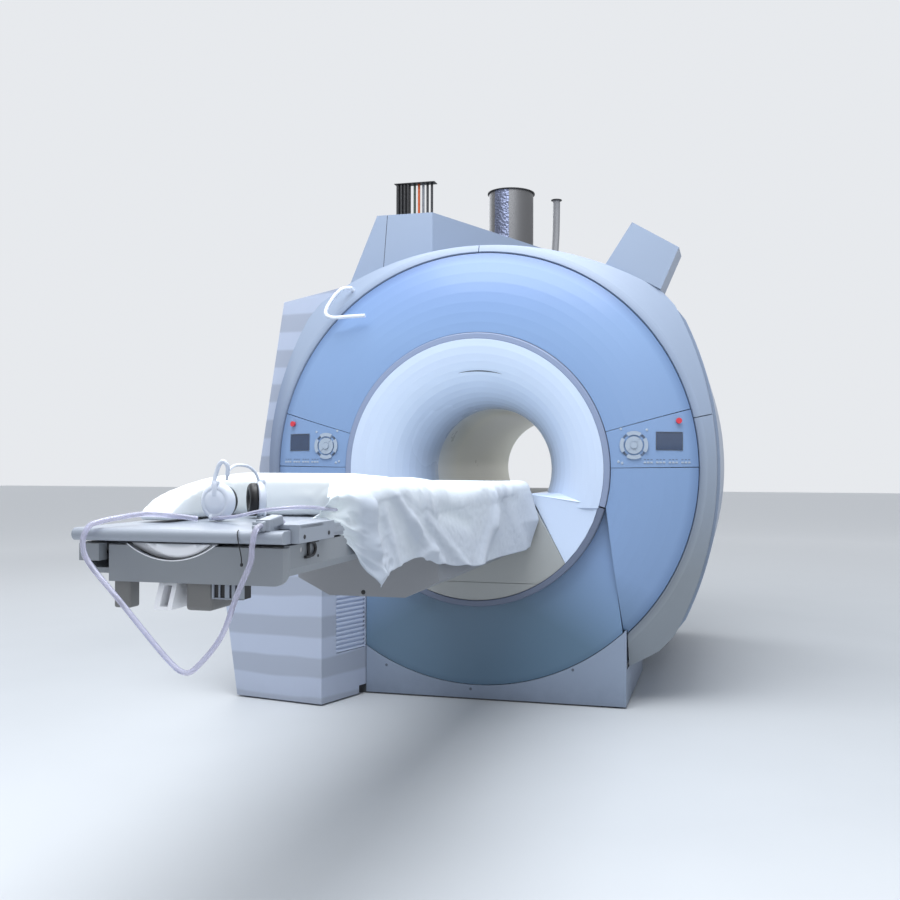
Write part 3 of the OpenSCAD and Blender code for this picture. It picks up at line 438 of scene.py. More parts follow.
# Every finish: its maker, its colour as own_colour takes it, and the maker's other values
FINISHES = {
    # Front blue with painted shade: darker at the dome's outer edge, low in the middle under the table, and
    # over the top of the dome
    "Front blue": (moulded_cover, "front_blue", 0.04, 0.34, 0.08, dict(tone_scale=1.0, coat=0.15, fades=(
        ("R", 0.975, 1.018, (0.66, 0.70, 0.76)), ("low", 1.02, 0.58, (0.46, 0.53, 0.47)),
        ("Z", 1.70, 2.15, (0.74, 0.78, 0.92))))),
    # Ring white with painted shade: darker at the inner edge by the dome, towards the bottom and on the left
    # side turned from the light
    "Ring white": (moulded_cover, "cover_white", 0.04, 0.40, 0.12, dict(dust=0.5, fades=(
        ("R", 1.052, 1.020, (0.70, 0.72, 0.77)), ("Z", 1.35, 0.60, (0.85, 0.78, 0.66)),
        ("X", -0.96, -1.08, (0.62, 0.66, 0.76))))),
    "Cover white": (moulded_cover, "cover_white", 0.04, 0.40, 0.12, dict(dust=0.5)),
    # Side cover and cabinet with bands of painted shadow
    "Side bands": (moulded_cover, "side_white", 0.03, 0.42, 0.12, dict(dust=0.5, bands="cover_band")),
    "Grille": (moulded_cover, ("side_white", 1.25), 0.04, 0.40, 0.10),
    "Turret white": (moulded_cover, ("cover_white", 0.95), 0.04, 0.42, 0.12),
    "Apron": (moulded_cover, "apron_grey", 0.03, 0.36, 0.08),
    "Mark grey": (moulded_cover, (0.10, 0.12, 0.16), 0.05, 0.4, 0.05),
    "Hand lens": (moulded_cover, (0.94, 0.95, 0.98), 0.01, 0.25, 0.05, dict(coat=0.3)),
    # The plinth is cover white darkened as painted shade low under the dome
    "Plinth": (moulded_cover, ("cover_white", 0.84), 0.05, 0.42, 0.15, dict(dust=1.0)),
    "Funnel": (moulded_cover, "funnel_white", 0.02, 0.26, 0.05, dict(coat=0.25)),
    "Rim": (moulded_cover, "rim_lavender", 0.03, 0.30, 0.05, dict(coat=0.2)),
    # The lower rim is the rim lavender darkened as painted shade under the table
    "Lower rim": (moulded_cover, ("rim_lavender", 0.54), 0.03, 0.34, 0.05),
    "Table grey": (moulded_cover, "table_grey", 0.05, 0.42, 0.15),
    "Trunk": (moulded_cover, "trunk_grey", 0.05, 0.5, 0.2),
    "Tabletop": (moulded_cover, "top_white", 0.03, 0.36, 0.1),
    # The boxes under the trough are darkened as painted shade under the table
    "Box cream": (moulded_cover, (0.175, 0.175, 0.172), 0.05, 0.5, 0.2),
    "Key grey": (moulded_cover, (0.38, 0.45, 0.54), 0.05, 0.35, 0.1),
    "Red": (moulded_cover, (0.62, 0.03, 0.05), 0.1, 0.3, 0.05, dict(coat=0.3)),
    "Frame steel": (moulded_cover, (0.08, 0.085, 0.09), 0.1, 0.55, 0.3),
    "Vessel": (moulded_cover, (0.55, 0.57, 0.6), 0.08, 0.45, 0.3),
    "Resin": (moulded_cover, (0.42, 0.30, 0.16), 0.15, 0.5, 0.3),
    "White metal": (moulded_cover, (0.72, 0.77, 0.86), 0.03, 0.3, 0.05, dict(coat=0.3)),
    "Bore": (bore_finish, "funnel_white", "bore_cream"),
    "Seam": (rubber, (0.020, 0.021, 0.024), 0.7),
    "Black plastic": (rubber, (0.012, 0.012, 0.014), 0.5),
    "Black rubber": (rubber, (0.014, 0.014, 0.016), 0.6),
    "Ear pad leather": (rubber, (0.004, 0.004, 0.005), 0.42),
    "Grey hose": (rubber, (0.22, 0.22, 0.23), 0.45),
    "Steel": (metal, (0.62, 0.62, 0.64), 0.3),
    "Cotton": (cotton, "linen"),
    "Vinyl": (vinyl_cover, "vinyl"),
    "Clear hose": (clear_hose, (0.58, 0.57, 0.74), (0.80, 0.80, 0.92)),
    "Display": (display_glass, (0.014, 0.036, 0.090), (0.022, 0.052, 0.120)),
    "Service cables": (cable_bundle, (0.010, 0.010, 0.012)),
    "Duct foil": (duct_foil, (0.165, 0.165, 0.17), (0.16, 0.18, 0.26)),
}
# Nodes of the solid model by finish; the dials and the arrow keys, which aren't listed, are key grey
NODE_FINISH = {node: finish for finish, nodes in {
    "Front blue": "dome_cover_upper dome_covers_low centre_panel control_panels",
    "Ring white": "rim_covers_top rim_cover_low",
    "Cover white": "rear_cover barrel_cover coldhead_cover",
    "Side bands": "side_cover_left cabinet", "Grille": "cabinet_grille", "Turret white": "turret_cover",
    "Apron": "apron", "Plinth": "plinth_cover", "Funnel": "funnel", "Rim": "funnel_rim",
    "Lower rim": "lower_rim", "Table grey": "bore_bridge trough end_panel", "Trunk": "trunk",
    "Tabletop": "tabletop table_fittings", "Box cream": "under_boxes",
    "Red": "stop_button_right stop_button_left", "Frame steel": "base_frame cover_frame lift_carriage",
    "Vessel": "magnet_vessel", "Resin": "gradient_coil body_coil", "White metal": "coil_hook headset",
    "Bore": "bore_liner", "Black plastic": "ceiling_plates coil_sockets latch",
    "Black rubber": "ear_pads", "Grey hose": "water_hose", "Steel": "lift_rails table_rollers",
    "Cotton": "sheet", "Vinyl": "mattress head_pad", "Clear hose": "air_tube", "Display": "displays",
    "Service cables": "ceiling_cables", "Duct foil": "quench_pipe"}.items() for node in nodes.split()}
MATERIALS = {}


def finish_of(name):
    """The finish of this name, made once."""
    if name not in MATERIALS:
        maker, colour, *values = FINISHES[name]
        options = values.pop() if values and isinstance(values[-1], dict) else {}
        MATERIALS[name] = maker(name, own_colour(colour), *values, **options)
    return MATERIALS[name]


def dress(obj, finish):
    obj.data.materials.clear()
    obj.data.materials.append(finish_of(finish))


# ---------------------------------------------------------------- pieces

def placed(name, data, finish, body):
    """An object of this data in the scene, dressed, that rides on a body."""
    obj = bpy.data.objects.new(name, data)
    bpy.context.scene.collection.objects.link(obj)
    dress(obj, finish)
    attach(obj, body)
    return obj


def piece_from(bm, name, finish, body, smooth=True):
    """Turns a bmesh into a finished piece that rides on a body."""
    bmesh.ops.recalc_face_normals(bm, faces=bm.faces[:])
    mesh = bpy.data.meshes.new(name)
    bm.to_mesh(mesh)
    bm.free()
    for polygon in mesh.polygons:
        polygon.use_smooth = smooth
    return placed(name, mesh, finish, body)


def curve_piece(name, points, radius, finish, body, sides=5):
    """A round cord or bar along points, as one open curve."""
    data = bpy.data.curves.new(name, "CURVE")
    data.dimensions = "3D"
    data.bevel_depth = radius
    data.bevel_resolution = sides
    data.use_fill_caps = True
    spline = data.splines.new("POLY")
    spline.points.add(len(points) - 1)
    for target, point in zip(spline.points, points):
        target.co = (*point, 1.0)
    spline.use_smooth = True
    return placed(name, data, finish, body)


def soften(bm, edges, offset, segments):
    """Rounds edges off."""
    bmesh.ops.bevel(bm, geom=edges, offset=offset, affect="EDGES", segments=segments, profile=0.5,
                    material=-1, clamp_overlap=True)


def at(x, y, z):
    return Matrix.Translation((x, y, z))


def facing(x, y, z, axis="X"):
    """Place whose Z looks at the table end, or along X if it is turned about Y."""
    return at(x, y, z) @ Matrix.Rotation(QUARTER, 4, axis)


def axes(side, up, out, spot):
    """Place at a spot with these three directions as its X, Y and Z."""
    place = Matrix((side, up, out)).transposed().to_4x4()
    place.translation = spot
    return place


def add_turned(bm, profile, place, segments=40):
    """Adds a shape turned about its own Z axis from (radius, height) points."""
    rings = []
    for radius, height in profile:
        if radius < 1e-6:
            rings.append([bm.verts.new(place @ Vector((0, 0, height)))])
            continue
        rings.append([bm.verts.new(place @ Vector((radius * math.cos(a), radius * math.sin(a), height)))
                      for a in (2 * math.pi * k / segments for k in range(segments))])
    for low, high in zip(rings, rings[1:]):
        for k in range(segments):
            n = (k + 1) % segments
            corners = [low[k % len(low)], low[n % len(low)], high[n % len(high)], high[k % len(high)]]
            kept = []
            for corner in corners:
                if corner not in kept:
                    kept.append(corner)
            if len(kept) > 2:
                bm.faces.new(kept)


def add_block(bm, place, size, soft, segments=2):
    """Adds a block with softened edges, centred on place."""
    made = bmesh.ops.create_cube(bm, size=1.0)["verts"]
    bmesh.ops.scale(bm, vec=size, verts=made)
    bmesh.ops.transform(bm, matrix=place, verts=made)
    if soft:
        soften(bm, list({e for v in made for e in v.link_edges}), soft, segments)


def add_blocks(bm, rows, place=None, segments=2):
    """Adds blocks given as middle, size and softness, in a place of their own if it is given."""
    for middle, size, soft in rows:
        add_block(bm, place @ at(*middle) if place else at(*middle), size, soft, segments)


def add_rod(bm, path, radius, sides=10):
    """Adds a round rod along points."""
    last = len(path) - 1
    rings = []
    for i, point in enumerate(path):
        along = (path[min(i + 1, last)] - path[max(i - 1, 0)]).normalized()
        out = along.cross(Vector((0.31, 0.17, 0.93))).normalized()
        other = along.cross(out)
        rings.append([bm.verts.new(point + radius * (math.cos(a) * out + math.sin(a) * other))
                      for a in (2 * math.pi * k / sides for k in range(sides))])
    for low, high in zip(rings, rings[1:]):
        for k in range(sides):
            n = (k + 1) % sides
            bm.faces.new((low[k], low[n], high[n], high[k]))
    bm.faces.new(rings[0])
    bm.faces.new(rings[-1])


def add_frame(bm, front, hole, shift, soft):
    """Adds a block with a hole through it: corners of the front and of the hole, and the way to the back."""
    loops = []
    for corners in (front, hole):
        near = [bm.verts.new(c) for c in corners]
        far = [bm.verts.new(Vector(c) + Vector(shift(c))) for c in corners]
        loops.append((near, far))
    (outer, outer_far), (inner, inner_far) = loops
    faces = []
    for k in range(4):
        n = (k + 1) % 4
        faces.append(bm.faces.new((outer[k], outer[n], inner[n], inner[k])))
        faces.append(bm.faces.new((outer_far[n], outer_far[k], inner_far[k], inner_far[n])))
        faces.append(bm.faces.new((outer[n], outer[k], outer_far[k], outer_far[n])))
        faces.append(bm.faces.new((inner[k], inner[n], inner_far[n], inner_far[k])))
    sharp = [e for e in {e for f in faces for e in f.edges} if e.calc_face_angle(0.0) > 0.5]
    soften(bm, sharp, soft, 3)


def on_dome(x, rise, lift=0.0):
    """Place on the domed front at x and at a rise above the isocentre, Z along the normal."""
    radius = math.hypot(x, rise)
    share = (radius - DOME_IN) / (DOME_OUT - DOME_IN)
    tilt = math.atan(2 * DOME_DROP * share / (DOME_OUT - DOME_IN))
    normal = Vector((math.sin(tilt) * x / radius, -math.cos(tilt), math.sin(tilt) * rise / radius))
    side = Vector((1, 0, 0)) - normal * normal.x
    side.normalize()
    spot = Vector((x, -(DOME_FRONT - DOME_DROP * share ** 2), ISO + rise)) + normal * lift
    return axes(side, normal.cross(side), normal, spot)


def smooth_path(points, steps):
    """Points along a smooth curve through the given ones, as the solid model's tubes take them."""
    path = []
    last = len(points) - 1
    for i in range(last):
        a, b = Vector(points[max(i - 1, 0)]), Vector(points[i])
        c, d = Vector(points[i + 1]), Vector(points[min(i + 2, last)])
        for j in range(steps):
            t = j / steps
            path.append(0.5 * (2 * b + (c - a) * t + (2 * a - 5 * b + 4 * c - d) * t ** 2
                               + (3 * b - a - 3 * c + d) * t ** 3))
    path.append(Vector(points[-1]))
    return path


class SCANNER_OT_finishes(bpy.types.Operator):
    """Give every node of the solid model its finish"""

    bl_idname = "scanner.finishes"
    bl_label = "Finishes"

    def execute(self, context):
        for name, node in NODES.items():
            dress(node, NODE_FINISH.get(name, "Key grey"))
        return {"FINISHED"}


# Half width of the pads and the inner edge of the head pad's side wing across the table, frames of
# cloth pressure, how far the pads stand off the tabletop, and the height over which a shoulder falls
PAD_HALF, WING_EDGE = 0.228, -0.139
CLOTH_FRAMES = 14
PAD_LIFT, SHOULDER_HEIGHT = 0.004, 0.09


def clamped(value):
    return min(1.0, max(0.0, value))


def eased(t):
    """A share of the way with a soft start and end."""
    return t * t * (3 - 2 * t)


def pad_shape(profile, x0, x1):
    """A pad as a closed block: a side outline of (y, z) drawn out across the table, its edges rounded."""
    bm = bmesh.new()
    side = bm.faces.new([bm.verts.new((x0, y, z)) for y, z in profile])
    moved = bmesh.ops.extrude_face_region(bm, geom=[side])
    bmesh.ops.translate(bm, verts=[v for v in moved["geom"] if isinstance(v, bmesh.types.BMVert)],
                        vec=(x1 - x0, 0, 0))
    bmesh.ops.recalc_face_normals(bm, faces=bm.faces[:])
    soften(bm, bm.edges[:], 0.012, 3)
    return bm


def fall_off(x):
    """How much of its shoulder a pad has lost at x: less on the left than on the right."""
    return (max(0.0, abs(x) - 0.15) / 0.08) ** 2 * (0.35 if x < 0 else 1.0)


def inflate(obj, pressure, limit, voxel, shoulder=0.0):
    """Voxel remesh, cloth pressure for some frames with a cap on movement, then one subdivision."""
    remesh = obj.modifiers.new("Remesh", "REMESH")
    remesh.mode = "VOXEL"
    remesh.voxel_size = voxel
    bpy.context.view_layer.objects.active = obj
    bpy.ops.object.modifier_apply(modifier=remesh.name)
    start = [v.co.copy() for v in obj.data.vertices]
    cloth = obj.modifiers.new("Cloth", "CLOTH")
    cloth.settings.use_pressure = True
    cloth.settings.uniform_pressure_force = pressure
    cloth.settings.effector_weights.gravity = 0.0
    cloth.settings.quality = 4
    for number in range(1, CLOTH_FRAMES + 1):
        bpy.context.scene.frame_set(number)
    bpy.ops.object.modifier_apply(modifier=cloth.name)
    bpy.context.scene.frame_set(1)
    for vertex, first in zip(obj.data.vertices, start):
        step = vertex.co - first
        if step.length > limit:
            vertex.co = first + step * (limit / step.length)
    for vertex in obj.data.vertices:
        share = clamped((vertex.co.z - TABLE_Z) / SHOULDER_HEIGHT)
        vertex.co.z = max(vertex.co.z - shoulder * share * fall_off(vertex.co.x), TABLE_Z + 0.0008)
    subdivide = obj.modifiers.new("Subdivision", "SUBSURF")
    subdivide.levels = subdivide.render_levels = 1
    for polygon in obj.data.polygons:
        polygon.use_smooth = True


class SCANNER_OT_pads(bpy.types.Operator):
    """Make the mattress and the domed head pad"""

    bl_idname = "scanner.pads"
    bl_label = "Pads"

    def execute(self, context):
        low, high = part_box("mattress")
        y0, y1, top = low[1], high[1], high[2]
        base = TABLE_Z + PAD_LIFT
        flat = [(y0 + 0.006, base), (y1 - 0.006, base), (y1 - 0.004, top - 0.016),
                (y1 - 0.03, top - 0.006), (y0 + 0.03, top - 0.006), (y0 + 0.004, top - 0.014)]
        self.pad(pad_shape(flat, -PAD_HALF, PAD_HALF), "Mattress", "mattress")
        crown = [(-2.156, 1.004), (-2.19, 1.024), (-2.31, 1.052), (-2.50, 1.056), (-2.70, 1.069),
                 (-2.80, 1.074), (-2.906, 1.068)]
        slope = [(-2.94, 1.067), (-3.02, 1.058), (-3.10, 1.041), (-3.15, 1.026), (-3.19, 1.004),
                 (-3.212, 0.985)]
        bm = pad_shape([(-2.906, base), (-2.156, base)] + crown, -PAD_HALF, PAD_HALF)
        wing = pad_shape([(-3.212, base), (-2.156, base)] + crown + slope, -PAD_HALF, WING_EDGE)
        spare = bpy.data.meshes.new("Pad side")
        wing.to_mesh(spare)
        wing.free()
        bm.from_mesh(spare)
        self.pad(bm, "Head_pad", "head_pad", 0.030)
        return {"FINISHED"}

    def pad(self, bm, name, node, shoulder=0.0):
        """Finishes one pad in place of its node."""
        _, s = settings()
        pad = piece_from(bm, name, "Vinyl", "tabletop_body")
        inflate(pad, s.pad_pressure, s.pad_limit, s.pad_voxel, shoulder)
        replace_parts(pad, node)


# Heights along the table, as (y, z) in metres: the top of the pads, the line where the sheet turns
# down, and its hem
PAD_TOP = [(-3.22, 0.974), (-3.10, 1.020), (-3.02, 1.045), (-2.94, 1.060), (-2.80, 1.072), (-2.70, 1.068),
           (-2.50, 1.056), (-2.31, 1.054), (-2.19, 1.030), (-2.10, 1.017), (-0.90, 1.0165)]
SHEET_TURN = [(-3.16, 1.000), (-2.96, 0.989), (-2.86, 1.012), (-2.69, 1.018), (-2.61, 0.992),
              (-2.51, 0.972), (-2.38, 0.948), (-2.27, 0.955), (-2.10, 0.955), (-1.99, 0.965),
              (-1.46, 0.972), (-0.90, 0.978)]
SHEET_HEM = [(-3.16, 0.960), (-3.135, 0.935), (-3.065, 0.866), (-2.971, 0.796), (-2.838, 0.822),
             (-2.689, 0.828), (-2.575, 0.831), (-2.494, 0.814), (-2.393, 0.792), (-2.187, 0.766),
             (-1.969, 0.742), (-1.675, 0.736), (-1.066, 0.727)]
# Folds of the hanging side: (y, z) at both ends, half width and height
SHEET_FOLDS = [
    (-2.75, 1.01, -2.61, 0.92, 0.022, 0.010), (-2.61, 0.92, -2.39, 0.80, 0.030, 0.014),
    (-2.45, 0.92, -2.15, 0.77, 0.024, 0.009), (-1.675, 0.97, -1.71, 0.88, 0.030, 0.016),
    (-1.71, 0.88, -1.91, 0.745, 0.045, 0.016), (-2.965, 0.99, -2.966, 0.85, 0.035, 0.026),
    (-2.83, 0.95, -2.76, 0.83, 0.028, 0.008), (-2.55, 0.83, -2.45, 0.84, 0.020, 0.012),
    (-2.30, 0.95, -2.05, 0.90, 0.030, -0.008), (-1.50, 0.95, -1.25, 0.76, 0.060, 0.008)]
# The sheet: rows along and columns across, its left edge and where it turns down the side, radius of
# that turn, widths over the pads and down the side, share of its width that lies on the pads, share of
# the hanging side taken by the turn, and the pad height above which its shoulder falls
SHEET_ROWS, SHEET_COLUMNS = 300, 150
SHEET_LEFT, SHEET_EDGE, SHEET_ROLL = -0.245, 0.222, 0.043
FLAT_SHARE, ROLL_SHARE = 0.55, 0.2
SHOULDER_FROM, SHOULDER_SPAN = 1.02, 0.04
# Depth of the folds that SHEET_FOLDS is drawn for
DRAWN_DEPTH = 0.016


def along_line(line, y):
    """Height of a (y, z) line at y."""
    for (y0, z0), (y1, z1) in zip(line, line[1:]):
        if y <= y1:
            return z0 + (z1 - z0) * eased(max(0.0, (y - y0) / (y1 - y0)))
    return line[-1][1]


class SCANNER_OT_sheet(bpy.types.Operator):
    """Drape the cotton sheet over the pads"""

    bl_idname = "scanner.sheet"
    bl_label = "Sheet"

    def execute(self, context):
        _, s = settings()
        bm = bmesh.new()
        bmesh.ops.create_grid(bm, x_segments=SHEET_COLUMNS, y_segments=SHEET_ROWS, size=0.5)
        uv = bm.loops.layers.uv.new("UVMap")
        for vertex in bm.verts:
            vertex.co = self.lay(vertex.co.x + 0.5, vertex.co.y + 0.5, s.fold_depth)
        for face in bm.faces:
            for loop in face.loops:
                co = loop.vert.co
                drop = max(0.0, along_line(PAD_TOP, co.y) - co.z)
                loop[uv].uv = (co.x + drop, co.y)
        sheet = piece_from(bm, "Sheet", "Cotton", "tabletop_body")
        solid = sheet.modifiers.new("Thickness", "SOLIDIFY")
        solid.thickness = 0.0012
        solid.offset = 1.0
        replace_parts(sheet, "sheet")
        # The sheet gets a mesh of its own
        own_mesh(sheet)
        return {"FINISHED"}

    def lay(self, u, v, depth):
        """Place of a point of the sheet: u across the pad and down the side, v along the table."""
        across = min(1.0, u / FLAT_SHARE)
        down = max(0.0, (u - FLAT_SHARE) / (1 - FLAT_SHARE))
        # The front edge runs askew over the pad and comes back down the side to a point
        start = -1.98 - 1.12 * across
        if down > 0:
            start = (-3.10 - 0.06 * math.sin(min(1.0, down / 0.35) * QUARTER)
                     + 0.19 * max(0.0, down - 0.35) / 0.65)
        end = -0.99 - 0.06 * down ** 2
        y = start + (end - start) * v
        y += 0.012 * noise.noise(Vector((y * 4.0, u * 9.0, 8.0))) * (1 - v)
        top = along_line(PAD_TOP, y) + 0.005
        turn_z = min(top - 0.02, along_line(SHEET_TURN, y))
        bunch, brim, wander = self.crumple(u, y, (y - start) * (1.0 if down > 0 else 0.75))
        fallen = clamped((top - SHOULDER_FROM) / SHOULDER_SPAN)
        if down <= 0:
            x = SHEET_LEFT + (SHEET_EDGE - SHEET_LEFT) * across
            tuck = 0.012 * math.exp(-((x - SHEET_LEFT) / 0.03) ** 2)
            shoulder = 0.030 * fallen * fall_off(x)
            return Vector((x, y, top + bunch + 0.003 * wander - tuck - shoulder * (1 - 0.5 * brim)))
        if down < ROLL_SHARE:
            turn = down / ROLL_SHARE * QUARTER
            x = SHEET_EDGE + (SHEET_ROLL + bunch) * math.sin(turn)
            z = turn_z + (top - 0.024 * fallen - turn_z + bunch) * math.cos(turn)
            return Vector((x + self.swell(y, z, depth) * math.sin(turn) ** 2, y, z))
        hem = along_line(SHEET_HEM, max(-3.16, y))
        z = turn_z + (hem - turn_z) * (down - ROLL_SHARE) / (1 - ROLL_SHARE)
        x = SHEET_EDGE + SHEET_ROLL + bunch + 0.004 * wander + self.swell(y, z, depth)
        return Vector((x, y, z))

    def crumple(self, u, y, from_front):
        """Crumples at u and y, by the way from the front edge: height, nearness of the brim, slow wave."""
        rough = math.exp(-(from_front / 0.20) ** 2)
        ridge = 1.0 - 2.2 * abs(noise.noise(Vector((y * 8.5, u * 7.5 + y * 2.5, 1.7))))
        small = 1.0 - 2.0 * abs(noise.noise(Vector((y * 19.0, u * 17.0, 3.1))))
        fine = noise.noise(Vector((y * 36.0, u * 30.0, 5.0)))
        wander = noise.noise(Vector((y * 3.1, u * 4.0, 0.4)))
        ridge, small = max(0.0, ridge), max(0.0, small)
        bunch = rough * (0.014 * ridge + 0.007 * small) + 0.0012 * fine
        bunch *= 0.06 + 0.94 * eased(clamped((u - 0.49) / 0.10))
        brim = math.exp(-((u - 0.57) / 0.07) ** 2)
        bunch += brim * (0.010 * ridge + 0.004 * small) * (0.5 + 0.5 * math.sin(y * 7.0))
        return bunch, brim, wander

    def swell(self, y, z, depth):
        """How far the hanging side stands out of its plane: long folds, soft waves and the free ends."""
        out = 0.0
        for y0, z0, y1, z1, width, height in SHEET_FOLDS:
            run = Vector((y1 - y0, z1 - z0))
            t = max(-0.15, min(1.15, ((y - y0) * run.x + (z - z0) * run.y) / run.length_squared))
            away = math.hypot(y - y0 - t * run.x, z - z0 - t * run.y)
            out += height * math.exp(-(away / width) ** 2) * (depth / DRAWN_DEPTH)
        low = max(0.0, 0.95 - z) / 0.2
        out += 0.5 * depth * low * math.sin(y * 8.5 + z * 9.0) + 0.012 * low
        out += 0.045 * max(0.0, (y + 1.45) / 0.45) ** 2 * clamped((0.98 - z) / 0.13) * (
            1.0 - 0.8 * max(0.0, (0.843 - z) / 0.116))
        out -= 0.055 * max(0.0, (-2.965 - y) / 0.19) ** 1.2
        return out


# Middle lines of the air tube, which hangs from the end of the table, and of the second hose, from the
# headset over the corner of the table and in under the sheet, in millimetres
TUBE_POINTS = [
    (206, -3300, 978), (206, -3340, 978), (206, -3396, 978), (204, -3420, 968), (200, -3426, 935),
    (197, -3428, 900), (167, -3430, 832), (133, -3430, 748), (79, -3430, 684), (46, -3430, 668),
    (0, -3430, 700), (-112, -3428, 814), (-189, -3426, 892), (-206, -3424, 935), (-202, -3412, 968),
    (-190, -3394, 978), (-173, -3354, 985), (-153, -3277, 990), (-110, -3200, 980), (-80, -3176, 974)]
HOSE_POINTS = [
    (-55, -3150, 974), (-10, -3185, 978), (50, -3217, 985), (130, -3254, 1000), (190, -3266, 1007),
    (222, -3227, 1008), (233, -3110, 998), (237, -3020, 990), (237, -2960, 984)]


def metres(points):
    return [tuple(c / 1000 for c in point) for point in points]


class SCANNER_OT_air_tube(bpy.types.Operator):
    """Hang the clear air tube of the headset from the end of the table"""

    bl_idname = "scanner.air_tube"
    bl_label = "Air tube"

    def execute(self, context):
        path = smooth_path(metres(HOSE_POINTS), 6)
        hose = curve_piece("Cup_hose", path, 0.0042, "Clear hose", "tabletop_body")
        path = smooth_path(metres(TUBE_POINTS), 4)
        tube = curve_piece("Air_tube", path, 0.006, "Clear hose", "tabletop_body")
        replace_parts(tube, "air_tube")
        return {"FINISHED"}


# Headset on the table: scale of its cups, each cup's middle and the way it looks, the turned outlines
# of a cup and of its pad, and the middle lines of the band
CUP_SCALE = 1.13
CUPS = [((-0.054, -3.130, 1.0137), (0.077, 0.997, 0)), ((-0.028, -2.972, 1.0140), (-0.795, -0.606, 0))]
CUP_SHELL = [
    (0.0, -0.0135), (0.012, -0.0138), (0.0245, -0.0130), (0.0255, -0.0118), (0.0270, -0.0118),
    (0.0282, -0.0128), (0.0350, -0.0098), (0.0395, -0.0050), (0.0418, 0.0010), (0.0418, 0.0045),
    (0.0400, 0.0058), (0.0, 0.0058)]
CUP_RING = [
    (0.0190, 0.0066), (0.0190, 0.0180), (0.0215, 0.0225), (0.0260, 0.0250), (0.0310, 0.0248),
    (0.0352, 0.0220), (0.0374, 0.0170), (0.0378, 0.0110), (0.0366, 0.0066), (0.0190, 0.0066)]
CUP_BARB = [(0.0, -0.006), (0.0045, -0.006), (0.0045, 0.006), (0.0, 0.006)]
BAND_ARCH = [
    (-0.038, -3.116, 1.066), (-0.040, -3.108, 1.086), (-0.041, -3.080, 1.0995), (-0.040, -3.048, 1.1025),
    (-0.036, -3.014, 1.098), (-0.031, -2.988, 1.083), (-0.027, -2.976, 1.062), (-0.024, -2.972, 1.048)]
BAND_LOOP = [
    (-0.0600, -3.1390, 1.046), (-0.0625, -3.134, 1.062), (-0.0563, -3.131, 1.088),
    (-0.0493, -3.132, 1.104), (-0.0400, -3.131, 1.112), (-0.0315, -3.128, 1.1045),
    (-0.0305, -3.124, 1.0935), (-0.0355, -3.118, 1.078)]


class SCANNER_OT_headset(bpy.types.Operator):
    """Make the headset with its padded cups, twin band and hose barbs"""

    bl_idname = "scanner.headset"
    bl_label = "Headset"

    def execute(self, context):
        up = Vector((0, 0, 1))
        shells, rings = bmesh.new(), bmesh.new()
        for spot, way in CUPS:
            way = Vector(way)
            place = axes(up.cross(way), up, way, spot) @ Matrix.Scale(CUP_SCALE, 4)
            add_turned(shells, CUP_SHELL, place, 56)
            add_turned(rings, CUP_RING, place, 56)
            # Slide of the band on the outside of the cup, and the hose barb at its bottom
            add_blocks(shells, [((0, 0.026, -0.0115), (0.011, 0.030, 0.005), 0.0015),
                                ((0, 0.0405, -0.0075), (0.015, 0.009, 0.009), 0.0015)], place)
            add_turned(shells, CUP_BARB, place @ facing(0.010, -0.034, -0.010), 20)
        # Band: an arch from cup to cup, and the loop that stands up over the near cup
        add_rod(shells, smooth_path(BAND_ARCH, 6), 0.0038)
        add_rod(shells, smooth_path(BAND_LOOP, 6), 0.0053)
        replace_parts(piece_from(shells, "Headset", "White metal", "tabletop_body"), "headset")
        pads = piece_from(rings, "Ear_pads", "Ear pad leather", "tabletop_body")
        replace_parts(pads, "ear_pads")
        return {"FINISHED"}


# Small parts of the front, in metres: middles of the dial and of the display beside the bore axis and
# above it, round keys beside the dial, and the plinth's screw covers
DIAL_X, DIAL_RISE = 0.738, 0.110
DISPLAY_X, DISPLAY_RISE = 0.892, 0.128
ROUND_KEYS = ((-0.068, 0.036), (-0.052, 0.030), (0.056, 0.178), (-0.058, 0.182))
PLINTH_SCREWS = ((-0.4425, 0.140), (-0.0255, 0.049), (0.457, 0.163))
# Slit in the top of the funnel: parts along it, its radius, half height and half angle, lean to the side
SLIT_PARTS, SLIT_RADIUS, SLIT_HALF, SLIT_ANGLE, SLIT_LEAN = 28, 0.459, 0.0026, 0.235, 0.045
# Bell of the funnel: radius and depth where it starts, and how far it runs out and forward
BELL_RADIUS, BELL_DEPTH, BELL_OUT, BELL_FORWARD = 0.300, 0.600, 0.305, 0.410


